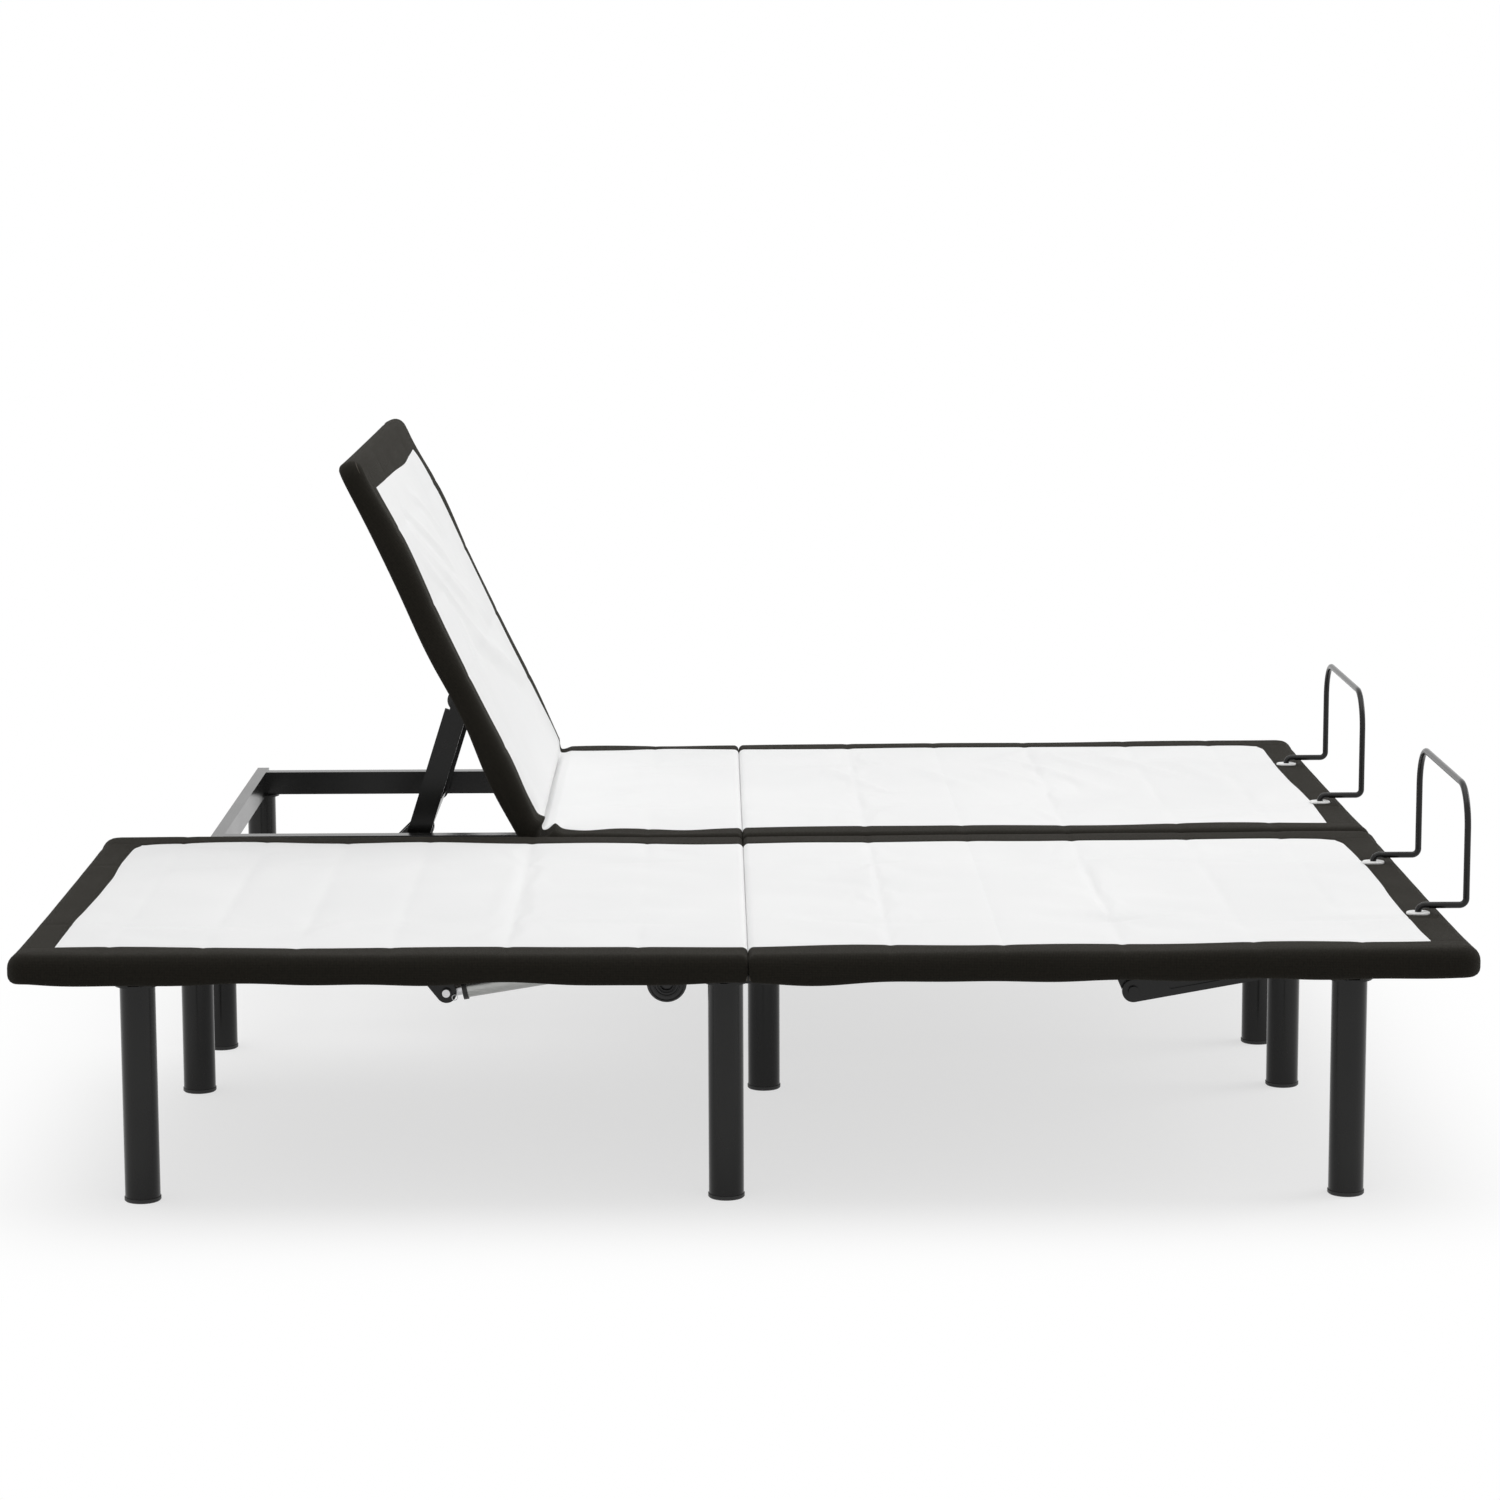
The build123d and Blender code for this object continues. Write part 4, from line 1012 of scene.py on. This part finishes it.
# %% Fitting kit
eye_radius = 0.013
pin_radius = 0.0058
pin_length = 0.003
pin_segments = 40
ring_segments = 48
wire_segments = 10
upright = (math.pi / 2, 0.0, 0.0)


def fitted(piece, name, finish, body):
    """Name, finish and body of a small piece that is already in place."""
    piece.name = name
    piece.data.materials.append(finishes[finish])
    piece.data.shade_smooth()
    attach(piece, body)
    return piece


def lever_pin(half):
    """Middle of the pin at the rod's eye, which is the rod's end towards the head."""
    low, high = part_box(f"{half}_head_rod")
    points = [vertex.co for vertex in nodes[f"{half}_head_rod"].data.vertices]
    tip = [point.z for point in points if point.x < low.x + level_tolerance]
    return Vector((low.x + eye_radius, (low.y + high.y) / 2, sum(tip) / len(tip)))


def pin_head(name, place, body):
    """A bright disc that stands across the bed."""
    bpy.ops.mesh.primitive_cylinder_add(vertices=pin_segments, radius=pin_radius, depth=pin_length,
                                        location=place, rotation=upright)
    piece = fitted(bpy.context.object, name, "bright_steel", body)
    piece.data.set_sharp_from_angle(angle=smooth_angle)


def wire_ring(name, place, radius, wire, finish, body):
    """A ring of wire that stands across the bed."""
    bpy.ops.mesh.primitive_torus_add(major_radius=radius, minor_radius=wire, major_segments=ring_segments,
                                     minor_segments=wire_segments, location=place, rotation=upright)
    fitted(bpy.context.object, name, finish, body)


print("fitting kit ready")

# %% [markdown]
# ## Placing the fittings
# The places come from the CAD pieces: the eye of the rod, the end face of the motor, the outer faces of the
# links. Only small offsets, such as the lever's half width, are given here.

# %% Fittings
ear_face = 0.0242
ring_shares = (0.42, 0.68, 0.93)
ring_wire = 0.0014
bolt_radius = 0.0052
clip_place = Vector((0.0125, 0.0, -0.0060))
clip_radius = 0.0040
clip_wire = 0.0005
for half in side_signs:
    pin = lever_pin(half)
    lift, actuator = f"{half}_head_lift", f"{half}_head_actuator"
    for side, word in ((-1.0, "near"), (1.0, "far")):
        pin_head(f"{half}_pin_head_{word}", pin + Vector((0.0, side * ear_face, 0.0)), lift)
    clip = pin + clip_place - Vector((0.0, ear_face, 0.0))
    wire_ring(f"{half}_pin_clip", clip, clip_radius, clip_wire, "bright_steel", lift)
    low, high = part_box(f"{half}_head_motor")
    face = Vector(((low.x + high.x) / 2, low.y, (low.z + high.z) / 2))
    for number, share in enumerate(ring_shares):
        radius = share * (high.z - low.z) / 2 - ring_wire
        wire_ring(f"{half}_motor_ring_{number}", face, radius, ring_wire, "black_plastic", actuator)
    link_low, link_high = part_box(f"{half}_leg_links")
    link_body = body_of(nodes[f"{half}_leg_links"])[0]
    pivot = Vector(joints[f"{half}_link_swing"]["pos_m"])
    for word, outer in (("near", link_low.y), ("far", link_high.y)):
        bolt = Vector((pivot.x, outer, pivot.z))
        wire_ring(f"{half}_link_bolt_{word}", bolt, bolt_radius, ring_wire, "black_plastic", link_body)
    print(half, "pin at", [round(v, 4) for v in pin], "link pivot at", [round(v, 4) for v in pivot])

# %% [markdown]
# ## Soft edges on the steel
# Folded and cut steel has no knife edges: each one is a thin line of light. A Bevel modifier rounds the
# edges of the steel that shows most and leaves the CAD mesh itself as it is.

# %% Soft edges
edge_light = 0.0008
edge_segments = 2
soft_nodes = ["left_head_lift", "right_head_lift", "side_rails", "cross_rails", "left_leg_links",
              "right_leg_links"]
for node in soft_nodes:
    soft = nodes[node].modifiers.new("soft_edges", "BEVEL")
    soft.width = edge_light
    soft.segments = edge_segments
    soft.limit_method = "ANGLE"
    soft.angle_limit = smooth_angle
print("softened", len(soft_nodes), "pieces")

# %% [markdown]
# ## Floor
# The bed stands on a white studio floor that runs out into white. Seen by the camera or in a reflection,
# the floor glows almost white and a diffuse share carries the soft shadow; every other ray meets plain pale
# paint. Past the bed's outline the glow fades to pure white, so the floor has no horizon.

# %% Floor
floor_glow = 0.66
floor_share = 0.37
floor_reach = 30.0
floor_paint = (0.80, 0.80, 0.80, 1.0)
pure_white = (1.0, 1.0, 1.0, 1.0)
white_inset = 0.18
white_run = 0.55


def seen_by_eye(material):
    """1 for rays that show the background: from the camera, off metal and through glass."""
    path = add_node(material, "LightPath")
    seen = path.outputs["Is Camera Ray"]
    for kind in ("Is Glossy Ray", "Is Transmission Ray"):
        either = add_node(material, "Math", [(0, seen), (1, path.outputs[kind])], operation="MAXIMUM")
        seen = either.outputs["Value"]
    return seen


def past_outline(material):
    """How far a place on the floor lies past an outline a little inside the bed's, in metres."""
    place = add_node(material, "TexCoord").outputs["Object"]
    outline = (foot_end - white_inset, half_middle + half_reach - white_inset, 0.0)
    for operation, second in (("ABSOLUTE", None), ("SUBTRACT", outline), ("MAXIMUM", (0.0, 0.0, 0.0))):
        step = add_node(material, "VectorMath", [(0, place)], operation=operation)
        if second:
            step.inputs[1].default_value = second
        place = step.outputs["Vector"]
    return add_node(material, "VectorMath", [(0, place)], operation="LENGTH").outputs["Value"]


def studio_floor():
    """A pale floor that reads as white, keeps the shadow and runs out into white."""
    material = bpy.data.materials.new("studio_floor")
    material.use_nodes = True
    material.node_tree.nodes.clear()
    paint = add_node(material, "BsdfDiffuse", Color=floor_paint)
    shade = add_node(material, "BsdfDiffuse", Color=(floor_share, floor_share, floor_share, 1.0))
    glow = add_node(material, "Emission", Color=pure_white, Strength=floor_glow)
    white = add_node(material, "Emission", Color=pure_white, Strength=1.0)
    seen = add_node(material, "AddShader", [(0, shade.outputs["BSDF"]), (1, glow.outputs["Emission"])])
    fade = add_node(material, "MapRange", [("Value", past_outline(material))], From_Max=white_run,
                    interpolation_type="SMOOTHSTEP")
    shown = add_node(material, "MixShader", [(0, fade.outputs["Result"]), (1, seen.outputs["Shader"]),
                                             (2, white.outputs["Emission"])])
    mixed = add_node(material, "MixShader", [(0, seen_by_eye(material)), (1, paint.outputs["BSDF"]),
                                             (2, shown.outputs["Shader"])])
    add_node(material, "OutputMaterial", [("Surface", mixed.outputs["Shader"])])
    return material


floor_mesh = bpy.data.meshes.new("floor")
floor_corners = [(x * floor_reach, y * floor_reach, 0.0) for x, y in ((-1, -1), (1, -1), (1, 1), (-1, 1))]
floor_mesh.from_pydata(floor_corners, [], [(0, 1, 2, 3)])
floor_mesh.materials.append(studio_floor())
floor = added("floor", floor_mesh)
print("floor reaches", floor_reach, "m each way")

# %% [markdown]
# ## Light
# One large softbox hangs above the bed and a smaller one stands beyond its foot end, which gives the raised
# head its light face. The world fills in evenly from all sides. The camera sees the world as pure white.

# %% Light
world_light = 0.59
world = bpy.data.worlds.new("studio")
bpy.context.scene.world = world
world.use_nodes = True
sky = world.node_tree.nodes["Background"]
sky.inputs["Color"].default_value = pure_white
level = add_node(world, "MapRange", [("Value", seen_by_eye(world))], To_Min=world_light, To_Max=1.0)
world.node_tree.links.new(level.outputs["Result"], sky.inputs["Strength"])


def softbox(name, place, aim, size, power):
    """A rectangular area light that points at a place."""
    data = bpy.data.lights.new(name, "AREA")
    data.shape = "RECTANGLE"
    data.size, data.size_y = size
    data.energy = power
    lamp = added(name, data)
    lamp.location = place
    lamp.rotation_euler = (Vector(aim) - Vector(place)).to_track_quat("-Z", "Y").to_euler()


softbox("top_softbox", place=(0.0, -0.2, 4.2), aim=(0.0, 0.2, 0.3), size=(5.0, 4.0), power=73.0)
softbox("foot_softbox", place=(5.0, 1.0, 3.0), aim=(-0.3, 0.3, 0.5), size=(3.0, 2.5), power=62.0)
bpy.context.scene.view_settings.view_transform = "Standard"
print("lights", len(bpy.data.lights), "world", world_light)
